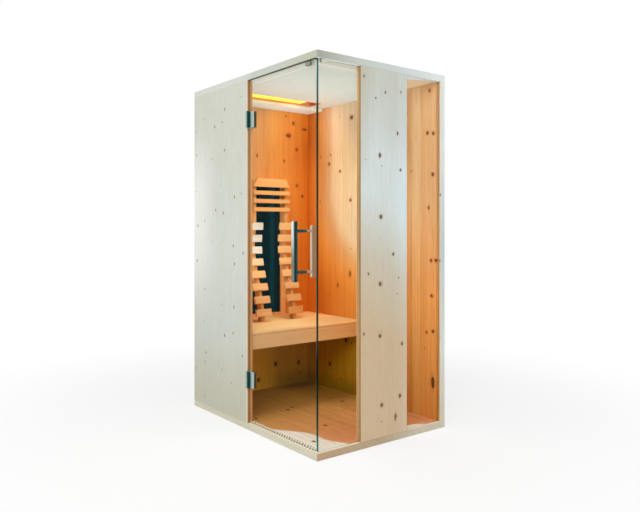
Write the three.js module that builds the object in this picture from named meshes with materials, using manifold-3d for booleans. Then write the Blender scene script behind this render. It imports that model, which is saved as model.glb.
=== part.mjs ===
// Infrared sauna cabin for one person: a box of solid pine panels with a glass corner.
// Millimetres. X runs along the door face from the hinge wall to the glass corner, Y runs inwards
// from the door face and Z is up. The origin is under the middle of the whole object, on the floor.

import * as THREE from "three";
import { mergeVertices } from "three/addons/utils/BufferGeometryUtils.js";
import Module from "manifold-3d";

const wasm = await Module();
wasm.setup();

// Cabin box
const CABIN_LENGTH = 1290;
const CABIN_DEPTH = 916;
const CABIN_HEIGHT = 2000;
const PANEL = 36;
const PANEL_EDGE = 1.5;
const FIT = 0.3;

// Base, floor and the row of air slots in the door sill
const BASE_RIM = 70;
const FLOOR_BOARD = 24;
const FLOOR_LEDGE = 12;
const SLOT_LENGTH = 30;
const SLOT_WIDTH = 8;
const SLOT_PITCH = 16;
const SLOT_SETBACK = 20;
const SLOT_ROW_MARGIN = 20;

// Hinge wall, centre panel and glass
const HINGE_WALL_LENGTH = 645;
const CENTRE_PANEL_START = 282;
const CENTRE_PANEL_WIDTH = 331;
const GLASS = 8;
const GLASS_EDGE = 0.8;
const PANE_SETBACK = 22;
const PANE_GROOVE = 10;
const DOOR_SETBACK = 12;
const DOOR_HINGE_GAP = 8;
const DOOR_BOTTOM_GAP = 10;
const DOOR_TOP_GAP = 8;
const DOOR_PANE_GAP = 3;

// Clip that holds the top of the corner pane
const CLIP_FROM_FRONT = 31;
const CLIP_WIDTH = 11;
const CLIP_LEG = 20;
const CLIP_FOOT = 12;
const CLIP_SHEET = 3;

// Door hinges
const HINGE_HEIGHT = 90;
const UPPER_HINGE_BELOW_TOP = 217;
const LOWER_HINGE_ABOVE_BOTTOM = 238;
const HINGE_AXIS_FROM_WALL = 14;
const HINGE_AXIS_FROM_FACE = 8;
const BARREL_RADIUS = 10;
const PIN_RADIUS = 4;
const PIN_RUNNING_FIT = 0.1;
const PIN_CAP_RADIUS = 8;
const PIN_CAP = 3;
const END_KNUCKLE = 24;
const KNUCKLE_GAP = 0.5;
const LEAF = 4;
const LEAF_DEPTH = 30;
const LEAF_ARM = 8;
const CLAMP_WIDTH = 44;
const CLAMP = 6;
const CLAMP_EDGE = 1;
const CLAMP_STUD_RADIUS = 5;
const CLAMP_STUD_FROM_AXIS = 26;
const CLAMP_STUD_SPACING = 50;

// Door handle
const HANDLE_FROM_CORNER = 112;
const HANDLE_CENTRE = 1016;
const STANDOFF_SPACING = 205;
const OUTER_GRIP_RADIUS = 16;
const OUTER_GRIP_LENGTH = 300;
const OUTER_GRIP_REACH = 67;
const INNER_GRIP_RADIUS = 14;
const INNER_GRIP_LENGTH = 260;
const INNER_GRIP_REACH = 40;
const GRIP_EDGE = 2;
const OUTER_STANDOFF_RADIUS = 8;
const INNER_STANDOFF_RADIUS = 7;
const STANDOFF_BOLT_RADIUS = 5;

// Magnetic catch at the top of the door
const CATCH_FROM_CORNER = 71;
const CATCH_WIDTH = 40;
const CATCH_DROP = 24;
const CATCH_GAP = 0.5;
const MAGNET_DEPTH = 20;
const STRIKE_SHEET = 3;

// Bench
const BENCH_DEPTH = 574;
const BENCH_HEIGHT = 536;
const BENCH_BOARD = 28;
const APRON = 28;
const APRON_HEIGHT = 99;
const APRON_ROUND = 8;
const BATTEN_WIDTH = 30;
const BATTEN_HEIGHT = 40;
const BOARD_EDGE = 1.5;

// Infrared heater on the back wall
const HEATER_WIDTH = 340;
const HEATER_ABOVE_BENCH = 20;
const HEATER_FRAME_WIDTH = 40;
const HEATER_FRAME_ABOVE_RAILS = 10;
const HEATER_FRAME_DEPTH = 26;
const HEATER_PLATE = 6;
const REFLECTOR_DEPTH = 8;
const REFLECTOR_SHEET = 1.5;

// Light recess in the ceiling and the valance behind it
const VALANCE_DEPTH = 164;
const VALANCE = 18;
const LIGHT_RECESS_WIDTH = 140;
const LIGHT_RECESS_DEPTH = 24;
const LIGHT_RECESS_END_ROOM = 92;
const LAMP_LENGTH = 444;
const DIFFUSER_WIDTH = 110;
const DIFFUSER_HEIGHT = 14;
const DIFFUSER_WALL = 3;
const LED_WIDTH = 20;
const LED_STRIP = 2;

// Backrest: heights are above the bench, offsets are from the back wall to the front of a rail
const RAIL_SPACING = 246;
const RAIL = 22;
const RAIL_DEPTH = 46;
const RAIL_TOP = 914;
const RAIL_STEPS = 26;
const HOLLOW_HEIGHT = 500;
const HOLLOW_OFFSET = 137;
const SEAT_REACH = 120;
const SHOULDER_HEIGHT = 640;
const SHOULDER_REACH = 18;
const BLOCK_COUNT = 8;
const BLOCK_FIRST = 57;
const BLOCKS_BELOW_SLATS = 109;
const BLOCK_LENGTH = 112;
const BLOCK_HEIGHT = 46;
const BLOCK = 20;
const BLOCK_EDGE = 2;
const BLOCK_SEAT = 2;
const SLAT_COUNT = 3;
const SLATS_BELOW_TOP = 87;
const SLAT_PITCH = 54;
const SLAT_LENGTH = 284;
const SLAT_HEIGHT = 26;
const HEAD_SLAT_BELOW_TOP = 21;
const HEAD_SLAT_HEIGHT = 55;
const HEAD_SLAT_TAPER = 29;
const SPACER = 20;

// Control box on the roof, with the gland where its supply comes in
const CONTROL_LENGTH = 300;
const CONTROL_DEPTH = 200;
const CONTROL_HEIGHT = 70;
const CONTROL_FROM_LEFT = 90;
const CONTROL_FROM_REAR = 130;
const CONTROL_ROUND = 12;
const CONTROL_EDGE = 3;
const LID_HEIGHT = 22;
const LID_GROOVE = 2;
const GLAND_RADIUS = 11;
const GLAND_NUT_SIDES = 6;
const GLAND_NUT = 8;
const GLAND_NECK_RADIUS = 9;
const GLAND_NECK = 14;
const GLAND_BORE_RADIUS = 5;

// How finely curves are drawn, and how far a cutting tool runs past a face
const ROUND_SIDES = 24;
const SMALL_ROUND_SIDES = 16;
const CURVE_STEPS = 6;
const CUT_PAST = 1;

// Planes that the pieces share
const HANDLE_STANDS_OUT = OUTER_GRIP_REACH + OUTER_GRIP_RADIUS - DOOR_SETBACK;
const LEFT = -CABIN_LENGTH / 2;
const RIGHT = CABIN_LENGTH / 2;
const FRONT = (HANDLE_STANDS_OUT - CABIN_DEPTH) / 2;
const REAR = FRONT + CABIN_DEPTH;
const FLOOR = PANEL;
const CEILING = CABIN_HEIGHT - PANEL;
const INNER_LEFT = LEFT + PANEL;
const INNER_FRONT = FRONT + PANEL;
const INNER_REAR = REAR - PANEL;
const CABIN_MIDDLE = (FRONT + REAR) / 2;
const HINGE_EDGE = LEFT + HINGE_WALL_LENGTH;
const CENTRE_START = FRONT + CENTRE_PANEL_START;
const CENTRE_END = CENTRE_START + CENTRE_PANEL_WIDTH;
const PANE_OUTER = RIGHT - PANE_SETBACK;
const PANE_INNER = PANE_OUTER - GLASS;
const DOOR_OUTER = FRONT + DOOR_SETBACK;
const DOOR_INNER = DOOR_OUTER + GLASS;
const DOOR_TOP = CEILING - DOOR_TOP_GAP;
const DOOR_BOTTOM = FLOOR + DOOR_BOTTOM_GAP;
const UPPER_HINGE_CENTRE = DOOR_TOP - UPPER_HINGE_BELOW_TOP;
const LOWER_HINGE_CENTRE = DOOR_BOTTOM + LOWER_HINGE_ABOVE_BOTTOM;
const BENCH_FRONT = INNER_LEFT + BENCH_DEPTH;
const HANDLE_X = RIGHT - HANDLE_FROM_CORNER;
const HINGE_X = HINGE_EDGE + HINGE_AXIS_FROM_WALL;
const HINGE_Y = FRONT - HINGE_AXIS_FROM_FACE;

// Heights that follow from the top of the backrest: the heater behind it ends with it
const HEATER_FRAME_TOP = RAIL_TOP + HEATER_FRAME_ABOVE_RAILS;
const HEATER_HEIGHT = HEATER_FRAME_TOP - HEATER_FRAME_WIDTH - HEATER_ABOVE_BENCH;
const HEAD_SLAT_CENTRE = RAIL_TOP - HEAD_SLAT_BELOW_TOP;
const SLAT_FIRST = RAIL_TOP - SLATS_BELOW_TOP - (SLAT_COUNT - 1) * SLAT_PITCH;
const BLOCK_PITCH = (SLAT_FIRST - BLOCKS_BELOW_SLATS - BLOCK_FIRST) / (BLOCK_COUNT - 1);
const SPACER_HEIGHT = RAIL_TOP - SPACER;

// Finishes
const palePine = { color: 0xdcd6c4, roughness: 0.62, metalness: 0 };
const warmPine = { color: 0xd99a56, roughness: 0.58, metalness: 0 };
const honeyLime = { color: 0xe8b878, roughness: 0.55, metalness: 0 };
const clearGlass = { color: 0xbfd6d2, roughness: 0.05, metalness: 0 };
const blackGlass = { color: 0x0b2026, roughness: 0.12, metalness: 0 };
const steel = { color: 0xb9bcbc, roughness: 0.28, metalness: 1 };
const aluminium = { color: 0xc4c6c8, roughness: 0.4, metalness: 1 };
const amberLight = { color: 0xffc83a, roughness: 0.5, metalness: 0 };
const greyPlastic = { color: 0xd0d2d0, roughness: 0.5, metalness: 0 };
const darkPlastic = { color: 0x3a3d3f, roughness: 0.55, metalness: 0 };

const cabin = new THREE.Group();

function addPiece(name, geometry, finish) {
  const mesh = new THREE.Mesh(geometry, new THREE.MeshStandardMaterial(finish));
  mesh.name = name;
  cabin.add(mesh);
  return mesh;
}

// Solids for cutting and joining
function toSolid(geometry) {
  const bare = geometry.clone();
  bare.deleteAttribute("normal");
  bare.deleteAttribute("uv");
  const merged = mergeVertices(bare);
  const vertProperties = new Float32Array(merged.attributes.position.array);
  const triVerts = new Uint32Array(merged.index.array);
  return new wasm.Manifold(new wasm.Mesh({ numProp: 3, vertProperties, triVerts }));
}

function toGeometry(solid) {
  const mesh = solid.getMesh();
  const geometry = new THREE.BufferGeometry();
  geometry.setAttribute("position", new THREE.BufferAttribute(new Float32Array(mesh.vertProperties), 3));
  geometry.setIndex(new THREE.BufferAttribute(new Uint32Array(mesh.triVerts), 1));
  geometry.computeVertexNormals();
  return geometry;
}

function cut(body, ...tools) {
  return toGeometry(tools.reduce((solid, tool) => solid.subtract(toSolid(tool)), toSolid(body)));
}

function join(body, ...others) {
  return toGeometry(others.reduce((solid, other) => solid.add(toSolid(other)), toSolid(body)));
}

// A bar between two planes on each axis, with its edges broken where edge is given
function bar([x0, x1], [y0, y1], [z0, z1], edge = 0) {
  if (edge === 0) {
    const box = new THREE.BoxGeometry(x1 - x0, y1 - y0, z1 - z0);
    return box.translate((x0 + x1) / 2, (y0 + y1) / 2, (z0 + z1) / 2);
  }
  const corners = [
    [x0 + edge, y0],
    [x1 - edge, y0],
    [x1, y0 + edge],
    [x1, y1 - edge],
    [x1 - edge, y1],
    [x0 + edge, y1],
    [x0, y1 - edge],
    [x0, y0 + edge],
  ];
  return extrude(shapeOf(corners), z1 - z0, edge).translate(0, 0, z0);
}

function shapeOf(corners) {
  return new THREE.Shape(corners.map(([u, v]) => new THREE.Vector2(u, v)));
}

function extrude(shape, depth, edge = 0) {
  const geometry = new THREE.ExtrudeGeometry(shape, {
    depth: depth - 2 * edge,
    bevelEnabled: edge > 0,
    bevelThickness: edge,
    bevelSize: edge,
    bevelOffset: -edge,
    bevelSegments: 1,
    curveSegments: CURVE_STEPS,
  });
  return geometry.translate(0, 0, edge);
}

// A side outline in X and Z, run along Y
function extrudeAlongY(shape, [y0, y1], edge = 0) {
  return extrude(shape, y1 - y0, edge).rotateX(Math.PI / 2).translate(0, y1, 0);
}

// A front outline in Y and Z, run along X
function extrudeAlongX(shape, [x0, x1], edge = 0) {
  return extrude(shape, x1 - x0, edge).rotateX(Math.PI / 2).rotateZ(Math.PI / 2).translate(x0, 0, 0);
}

function rodAlongZ(radius, [z0, z1], sides = ROUND_SIDES) {
  const rod = new THREE.CylinderGeometry(radius, radius, z1 - z0, sides);
  return rod.rotateX(Math.PI / 2).translate(0, 0, (z0 + z1) / 2);
}

function rodAlongY(radius, x, [y0, y1], z, sides = SMALL_ROUND_SIDES) {
  const rod = new THREE.CylinderGeometry(radius, radius, y1 - y0, sides);
  return rod.translate(x, (y0 + y1) / 2, z);
}

function grown([low, high], by) {
  return [low - by, high + by];
}

// Fixed panes: the corner pane and the side pane stand in grooves in the base, roof and panels
const paneX = [PANE_INNER, PANE_OUTER];
const paneZ = [FLOOR - PANE_GROOVE + FIT, CEILING + PANE_GROOVE - FIT];
const cornerPaneY = [DOOR_INNER + DOOR_PANE_GAP, CENTRE_START + PANE_GROOVE - FIT];
const sidePaneY = [CENTRE_END - PANE_GROOVE + FIT, INNER_REAR + PANE_GROOVE - FIT];

function paneRoom(y) {
  return bar(grown(paneX, FIT), grown(y, FIT), grown(paneZ, FIT));
}

addPiece("corner_pane", bar(paneX, cornerPaneY, paneZ, GLASS_EDGE), clearGlass);
addPiece("side_pane", bar(paneX, sidePaneY, paneZ, GLASS_EDGE), clearGlass);

// Base frame: a rebated rim round the floor board, slotted under the door to let air in
function slotTools() {
  const rowStart = HINGE_EDGE + SLOT_ROW_MARGIN;
  const rowLength = PANE_INNER - SLOT_ROW_MARGIN - rowStart;
  const count = Math.floor((rowLength - SLOT_WIDTH) / SLOT_PITCH) + 1;
  const slotY = [FRONT + SLOT_SETBACK, FRONT + SLOT_SETBACK + SLOT_LENGTH];
  return Array.from({ length: count }, (_, index) => {
    const x = rowStart + index * SLOT_PITCH;
    return bar([x, x + SLOT_WIDTH], slotY, [-PANEL, 2 * PANEL]);
  });
}

const rimX = [LEFT + BASE_RIM, RIGHT - BASE_RIM];
const rimY = [FRONT + BASE_RIM, REAR - BASE_RIM];
const ledgeZ = FLOOR - FLOOR_BOARD;
const baseBlank = bar([LEFT, RIGHT], [FRONT, REAR], [0, FLOOR], PANEL_EDGE);
const floorRoom = bar(rimX, rimY, [ledgeZ, FLOOR + PANEL]);
const underFloor = bar(grown(rimX, -FLOOR_LEDGE), grown(rimY, -FLOOR_LEDGE), [-PANEL, FLOOR]);
const paneRooms = [paneRoom(cornerPaneY), paneRoom(sidePaneY)];
addPiece("base_frame", cut(baseBlank, floorRoom, underFloor, ...paneRooms, ...slotTools()), palePine);
const floorBoard = bar(grown(rimX, -FIT), grown(rimY, -FIT), [ledgeZ + FIT, FLOOR], PANEL_EDGE);
addPiece("floor_panel", floorBoard, warmPine);

// Roof panel with the light recess in its underside
const lampY = [CABIN_MIDDLE - LAMP_LENGTH / 2, CABIN_MIDDLE + LAMP_LENGTH / 2];
const recessX = [INNER_LEFT + VALANCE_DEPTH, INNER_LEFT + VALANCE_DEPTH + LIGHT_RECESS_WIDTH];
const recessY = grown(lampY, LIGHT_RECESS_END_ROOM);
const recessTop = CEILING + LIGHT_RECESS_DEPTH;
const roofBlank = bar([LEFT, RIGHT], [FRONT, REAR], [CEILING, CABIN_HEIGHT], PANEL_EDGE);
const recess = bar(recessX, recessY, [CEILING - PANEL, recessTop]);
addPiece("roof_panel", cut(roofBlank, recess, ...paneRooms), palePine);

// Walls between the base and the roof
const wallZ = [FLOOR, CEILING];
const hingeWall = bar([LEFT, HINGE_EDGE], [FRONT, INNER_FRONT], wallZ, PANEL_EDGE);
addPiece("hinge_wall", hingeWall, palePine);
const sideWallBlank = bar([LEFT, RIGHT], [INNER_REAR, REAR], wallZ, PANEL_EDGE);
addPiece("side_wall", cut(sideWallBlank, paneRooms[1]), palePine);
const backWall = bar([LEFT, INNER_LEFT], [INNER_FRONT, INNER_REAR], wallZ, PANEL_EDGE);
addPiece("back_wall", backWall, palePine);
const centreBlank = bar([RIGHT - PANEL, RIGHT], [CENTRE_START, CENTRE_END], wallZ, PANEL_EDGE);
addPiece("centre_panel", cut(centreBlank, ...paneRooms), palePine);

// Clip on the outer face of the corner pane, screwed to the roof
const clipX = PANE_OUTER + FIT;
const clipOutline = shapeOf([
  [clipX, CEILING - CLIP_LEG],
  [clipX + CLIP_SHEET, CEILING - CLIP_LEG],
  [clipX + CLIP_SHEET, CEILING - CLIP_SHEET],
  [clipX + CLIP_FOOT, CEILING - CLIP_SHEET],
  [clipX + CLIP_FOOT, CEILING],
  [clipX, CEILING],
]);
const clipY = [FRONT + CLIP_FROM_FRONT, FRONT + CLIP_FROM_FRONT + CLIP_WIDTH];
addPiece("pane_clip", extrudeAlongY(clipOutline, clipY), steel);

// Door hinges, drawn about the pin's axis: the wall leaf carries the middle knuckle and the pin,
// and the clamp on the glass carries the two end knuckles
const leafX = [HINGE_EDGE + FIT - HINGE_X, HINGE_EDGE + FIT + LEAF - HINGE_X];
const leafFront = FRONT + PANEL_EDGE - HINGE_Y;
const hingeHalf = HINGE_HEIGHT / 2;
const hingeZ = [-hingeHalf, hingeHalf];
const middleZ = grown(hingeZ, -END_KNUCKLE);
const pinBore = rodAlongZ(PIN_RADIUS + PIN_RUNNING_FIT, grown(hingeZ, CUT_PAST));
const clampX = [0, CLAMP_WIDTH];
const clampY = [DOOR_OUTER - FIT - CLAMP - HINGE_Y, DOOR_OUTER - FIT - HINGE_Y];
const backPlateY = [DOOR_INNER + FIT - HINGE_Y, DOOR_INNER + FIT + CLAMP - HINGE_Y];
const studHeights = [-CLAMP_STUD_SPACING / 2, CLAMP_STUD_SPACING / 2];

function wallLeaf() {
  const plate = bar(leafX, [leafFront, leafFront + LEAF_DEPTH], hingeZ, CLAMP_EDGE);
  const knuckle = rodAlongZ(BARREL_RADIUS, middleZ);
  const arm = bar([leafX[0], 0], [-LEAF_ARM / 2, LEAF_ARM / 2], middleZ);
  const bend = bar(leafX, [-LEAF_ARM / 2, leafFront + LEAF], middleZ);
  return cut(join(plate, knuckle, arm, bend), pinBore);
}

function glassClamp() {
  const plate = bar(clampX, clampY, hingeZ, CLAMP_EDGE);
  const ends = [
    [hingeZ[0], middleZ[0] - KNUCKLE_GAP],
    [middleZ[1] + KNUCKLE_GAP, hingeZ[1]],
  ];
  const knuckles = ends.map((z) => rodAlongZ(BARREL_RADIUS, z));
  const web = bar([0, BARREL_RADIUS], [0, clampY[1] - CLAMP_EDGE], hingeZ);
  const barrelRoom = rodAlongZ(BARREL_RADIUS + KNUCKLE_GAP, grown(middleZ, KNUCKLE_GAP));
  const studY = [clampY[1] - CLAMP_EDGE, backPlateY[0] - FIT];
  const studs = studHeights.map((z) => rodAlongY(CLAMP_STUD_RADIUS, CLAMP_STUD_FROM_AXIS, studY, z));
  return cut(join(plate, ...knuckles, web, ...studs), pinBore, barrelRoom);
}

function hingePin() {
  const shaft = rodAlongZ(PIN_RADIUS, [-hingeHalf, hingeHalf + PIN_CAP]);
  const cap = rodAlongZ(PIN_CAP_RADIUS, [hingeHalf + FIT, hingeHalf + FIT + PIN_CAP]);
  return join(shaft, cap);
}

function addHinge(side, height) {
  const pieces = [
    addPiece(`${side}_hinge_leaf`, wallLeaf(), steel),
    addPiece(`${side}_hinge_pin`, hingePin(), steel),
    addPiece(`${side}_hinge_clamp`, glassClamp(), steel),
    addPiece(`${side}_hinge_back_plate`, bar(clampX, backPlateY, hingeZ, CLAMP_EDGE), steel),
  ];
  pieces.forEach((piece) => piece.position.set(HINGE_X, HINGE_Y, height));
}

addHinge("upper", UPPER_HINGE_CENTRE);
addHinge("lower", LOWER_HINGE_CENTRE);

// Door glass with its holes for the hinge studs and the handle bolts
const standoffHeights = [HANDLE_CENTRE + STANDOFF_SPACING / 2, HANDLE_CENTRE - STANDOFF_SPACING / 2];
const throughGlass = grown([DOOR_OUTER, DOOR_INNER], GLASS);
const studX = HINGE_X + CLAMP_STUD_FROM_AXIS;
const hingeHoles = [UPPER_HINGE_CENTRE, LOWER_HINGE_CENTRE].flatMap((centre) =>
  studHeights.map((z) => rodAlongY(CLAMP_STUD_RADIUS + FIT, studX, throughGlass, centre + z)),
);
const boltHoles = standoffHeights.map((z) =>
  rodAlongY(STANDOFF_BOLT_RADIUS + FIT, HANDLE_X, throughGlass, z),
);
const doorX = [HINGE_EDGE + DOOR_HINGE_GAP, PANE_OUTER];
const doorBlank = bar(doorX, [DOOR_OUTER, DOOR_INNER], [DOOR_BOTTOM, DOOR_TOP], GLASS_EDGE);
addPiece("door_glass", cut(doorBlank, ...hingeHoles, ...boltHoles), clearGlass);

// Handle: a steel grip outside and a wooden grip inside, on two bolts through the glass
const outerGripY = DOOR_OUTER - OUTER_GRIP_REACH;
const innerGripY = DOOR_INNER + INNER_GRIP_REACH;

function gripZ(length) {
  return [HANDLE_CENTRE - length / 2, HANDLE_CENTRE + length / 2];
}

function grip(radius, length) {
  const half = length / 2;
  const profile = [
    [0, -half],
    [radius - GRIP_EDGE, -half],
    [radius, -half + GRIP_EDGE],
    [radius, half - GRIP_EDGE],
    [radius - GRIP_EDGE, half],
    [0, half],
  ];
  const points = profile.map(([r, z]) => new THREE.Vector2(r, z));
  return new THREE.LatheGeometry(points, ROUND_SIDES).rotateX(Math.PI / 2);
}

function standoff(height) {
  const outer = rodAlongY(OUTER_STANDOFF_RADIUS, HANDLE_X, [outerGripY, DOOR_OUTER - FIT], height);
  const bolt = rodAlongY(STANDOFF_BOLT_RADIUS, HANDLE_X, throughGlass, height);
  const inner = rodAlongY(INNER_STANDOFF_RADIUS, HANDLE_X, [DOOR_INNER + FIT, innerGripY], height);
  const outerRoom = rodAlongZ(OUTER_GRIP_RADIUS + FIT, gripZ(OUTER_GRIP_LENGTH));
  const innerRoom = rodAlongZ(INNER_GRIP_RADIUS + FIT, gripZ(INNER_GRIP_LENGTH));
  outerRoom.translate(HANDLE_X, outerGripY, 0);
  innerRoom.translate(HANDLE_X, innerGripY, 0);
  return cut(join(outer, bolt, inner), outerRoom, innerRoom);
}

const outerGrip = addPiece("outer_grip", grip(OUTER_GRIP_RADIUS, OUTER_GRIP_LENGTH), steel);
outerGrip.position.set(HANDLE_X, outerGripY, HANDLE_CENTRE);
const innerGrip = addPiece("inner_grip", grip(INNER_GRIP_RADIUS, INNER_GRIP_LENGTH), honeyLime);
innerGrip.position.set(HANDLE_X, innerGripY, HANDLE_CENTRE);
addPiece("upper_standoff", standoff(standoffHeights[0]), steel);
addPiece("lower_standoff", standoff(standoffHeights[1]), steel);

// Catch: a steel strike folded over the top of the glass, held by a magnet block on the ceiling
const catchX = [RIGHT - CATCH_FROM_CORNER - CATCH_WIDTH, RIGHT - CATCH_FROM_CORNER];
const strikeBottom = CEILING - CATCH_DROP;
const strikeTop = DOOR_TOP + FIT + STRIKE_SHEET;
const cheekOuter = DOOR_OUTER - FIT - STRIKE_SHEET;
const cheekInner = DOOR_INNER + FIT + STRIKE_SHEET;
const strikeOutline = shapeOf([
  [cheekOuter, strikeBottom],
  [cheekOuter + STRIKE_SHEET, strikeBottom],
  [cheekOuter + STRIKE_SHEET, DOOR_TOP + FIT],
  [cheekInner - STRIKE_SHEET, DOOR_TOP + FIT],
  [cheekInner - STRIKE_SHEET, strikeBottom],
  [cheekInner, strikeBottom],
  [cheekInner, strikeTop],
  [cheekOuter, strikeTop],
]);
addPiece("door_strike", extrudeAlongX(strikeOutline, catchX), steel);
const magnetY = [cheekInner + CATCH_GAP, cheekInner + CATCH_GAP + MAGNET_DEPTH];
addPiece("door_magnet", bar(catchX, magnetY, [strikeBottom, CEILING], CLAMP_EDGE), aluminium);

// Bench: a board on two wall battens behind a rounded apron
const innerY = [INNER_FRONT, INNER_REAR];
const apronBack = BENCH_FRONT - APRON;
const apronOutline = new THREE.Shape();
apronOutline.moveTo(apronBack, BENCH_HEIGHT - APRON_HEIGHT);
apronOutline.lineTo(BENCH_FRONT, BENCH_HEIGHT - APRON_HEIGHT);
apronOutline.lineTo(BENCH_FRONT, BENCH_HEIGHT - APRON_ROUND);
const roundX = BENCH_FRONT - APRON_ROUND;
apronOutline.absarc(roundX, BENCH_HEIGHT - APRON_ROUND, APRON_ROUND, 0, Math.PI / 2);
apronOutline.lineTo(apronBack, BENCH_HEIGHT);
addPiece("bench_apron", extrudeAlongY(apronOutline, innerY), honeyLime);
const boardBottom = BENCH_HEIGHT - BENCH_BOARD;
const benchBoard = bar([INNER_LEFT, apronBack], innerY, [boardBottom, BENCH_HEIGHT], BOARD_EDGE);
addPiece("bench_board", benchBoard, honeyLime);
const battenZ = [boardBottom - BATTEN_HEIGHT, boardBottom];
const leftBattenY = [INNER_FRONT, INNER_FRONT + BATTEN_WIDTH];
const rightBattenY = [INNER_REAR - BATTEN_WIDTH, INNER_REAR];
const battenX = [INNER_LEFT, apronBack];
addPiece("bench_left_batten", bar(battenX, leftBattenY, battenZ, BOARD_EDGE), warmPine);
addPiece("bench_right_batten", bar(battenX, rightBattenY, battenZ, BOARD_EDGE), warmPine);

// Heater: a reflector tray on the wall, the black radiating plate on it and a wooden frame round both
const heaterY = [CABIN_MIDDLE - HEATER_WIDTH / 2, CABIN_MIDDLE + HEATER_WIDTH / 2];
const heaterBottom = BENCH_HEIGHT + HEATER_ABOVE_BENCH;
const heaterZ = [heaterBottom, heaterBottom + HEATER_HEIGHT];
const frameFront = INNER_LEFT + HEATER_FRAME_DEPTH;
const reflectorX = [INNER_LEFT, INNER_LEFT + REFLECTOR_DEPTH];
const plateX = [reflectorX[1] + FIT, reflectorX[1] + FIT + HEATER_PLATE];

function rectangle([y0, y1], [z0, z1]) {
  return [
    [y0, z0],
    [y1, z0],
    [y1, z1],
    [y0, z1],
  ];
}

function heaterFrame() {
  const outerZ = [BENCH_HEIGHT + FIT, heaterZ[1] + HEATER_FRAME_WIDTH];
  const frame = shapeOf(rectangle(grown(heaterY, HEATER_FRAME_WIDTH), outerZ));
  frame.holes.push(shapeOf(rectangle(grown(heaterY, FIT), grown(heaterZ, FIT))));
  return extrudeAlongX(frame, [INNER_LEFT, frameFront], BOARD_EDGE);
}

function reflectorTray() {
  const tray = bar(reflectorX, heaterY, heaterZ);
  const inside = [reflectorX[0] + REFLECTOR_SHEET, reflectorX[1] + REFLECTOR_DEPTH];
  const hollow = bar(inside, grown(heaterY, -REFLECTOR_SHEET), grown(heaterZ, -REFLECTOR_SHEET));
  return cut(tray, hollow);
}

addPiece("heater_frame", heaterFrame(), warmPine);
addPiece("heater_reflector", reflectorTray(), aluminium);
addPiece("heater_plate", bar(plateX, heaterY, heaterZ, CLAMP_EDGE), blackGlass);

// Ceiling light: a strip of LEDs under an amber cover in the recess, and the valance behind it
const valanceX = [INNER_LEFT, recessX[0]];
addPiece("light_valance", bar(valanceX, innerY, [CEILING - VALANCE, CEILING], BOARD_EDGE), palePine);
const lampMiddle = (recessX[0] + recessX[1]) / 2;
const coverX = [lampMiddle - DIFFUSER_WIDTH / 2, lampMiddle + DIFFUSER_WIDTH / 2];
const coverZ = [recessTop - FIT - DIFFUSER_HEIGHT, recessTop - FIT];
const coverHollow = bar(
  grown(coverX, -DIFFUSER_WALL),
  grown(lampY, -DIFFUSER_WALL),
  [coverZ[0] + DIFFUSER_WALL, coverZ[1] + DIFFUSER_WALL],
);
addPiece("light_cover", cut(bar(coverX, lampY, coverZ, CLAMP_EDGE), coverHollow), amberLight);
const ledX = [lampMiddle - LED_WIDTH / 2, lampMiddle + LED_WIDTH / 2];
const ledY = grown(lampY, -2 * DIFFUSER_WALL);
addPiece("led_strip", bar(ledX, ledY, [recessTop - FIT - LED_STRIP, recessTop - FIT]), greyPlastic);

// Backrest: the rail's front follows the sitter's back, hollow above the waist and forward at the seat
function easeBetween(value, start, end) {
  const t = THREE.MathUtils.clamp((value - start) / (end - start), 0, 1);
  return t * t * (3 - 2 * t);
}

function railFront(height) {
  const seat = SEAT_REACH * easeBetween(height, HOLLOW_HEIGHT, 0);
  const shoulder = SHOULDER_REACH * easeBetween(height, HOLLOW_HEIGHT, SHOULDER_HEIGHT);
  return HOLLOW_OFFSET + seat + shoulder;
}

function railLean(height) {
  const rise = RAIL_TOP / RAIL_STEPS;
  return Math.atan((railFront(height + rise / 2) - railFront(height - rise / 2)) / rise);
}

// Turns a cross piece to the rail and lets it into the rail's front edge
function seatOnRail(height) {
  const lean = railLean(height);
  const proud = BLOCK / 2 - BLOCK_SEAT;
  const matrix = new THREE.Matrix4().makeRotationY(lean);
  matrix.setPosition(
    INNER_LEFT + railFront(height) + proud * Math.cos(lean),
    CABIN_MIDDLE,
    BENCH_HEIGHT + height - proud * Math.sin(lean),
  );
  return matrix;
}

function crossBar(length, height, growth = 0) {
  const thickness = [-BLOCK / 2 - growth, BLOCK / 2 + growth];
  const width = grown([-length / 2, length / 2], growth);
  const rise = grown([-height / 2, height / 2], growth);
  return bar(thickness, width, rise, growth > 0 ? 0 : BLOCK_EDGE);
}

const blockHeights = Array.from({ length: BLOCK_COUNT }, (_, row) => BLOCK_FIRST + row * BLOCK_PITCH);
const slatHeights = Array.from({ length: SLAT_COUNT }, (_, row) => SLAT_FIRST + row * SLAT_PITCH);

function railRooms() {
  const room = (length, tall, height) => crossBar(length, tall, FIT).applyMatrix4(seatOnRail(height));
  const blocks = blockHeights.map((height) => room(BLOCK_LENGTH, BLOCK_HEIGHT, height));
  const slats = slatHeights.map((height) => room(SLAT_LENGTH, SLAT_HEIGHT, height));
  return [...blocks, ...slats, room(SLAT_LENGTH, HEAD_SLAT_HEIGHT, HEAD_SLAT_CENTRE)];
}

function railSolid() {
  const bottom = FIT;
  const heights = Array.from({ length: RAIL_STEPS + 1 }, (_, step) => {
    return bottom + ((RAIL_TOP - bottom) * step) / RAIL_STEPS;
  });
  const front = heights.map((h) => [INNER_LEFT + railFront(h), BENCH_HEIGHT + h]);
  const back = heights.map((h) => [INNER_LEFT + railFront(h) - RAIL_DEPTH, BENCH_HEIGHT + h]).reverse();
  const railY = [CABIN_MIDDLE - RAIL / 2, CABIN_MIDDLE + RAIL / 2];
  const rail = extrudeAlongY(shapeOf([...front, ...back]), railY);
  return cut(rail, ...railRooms());
}

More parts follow.
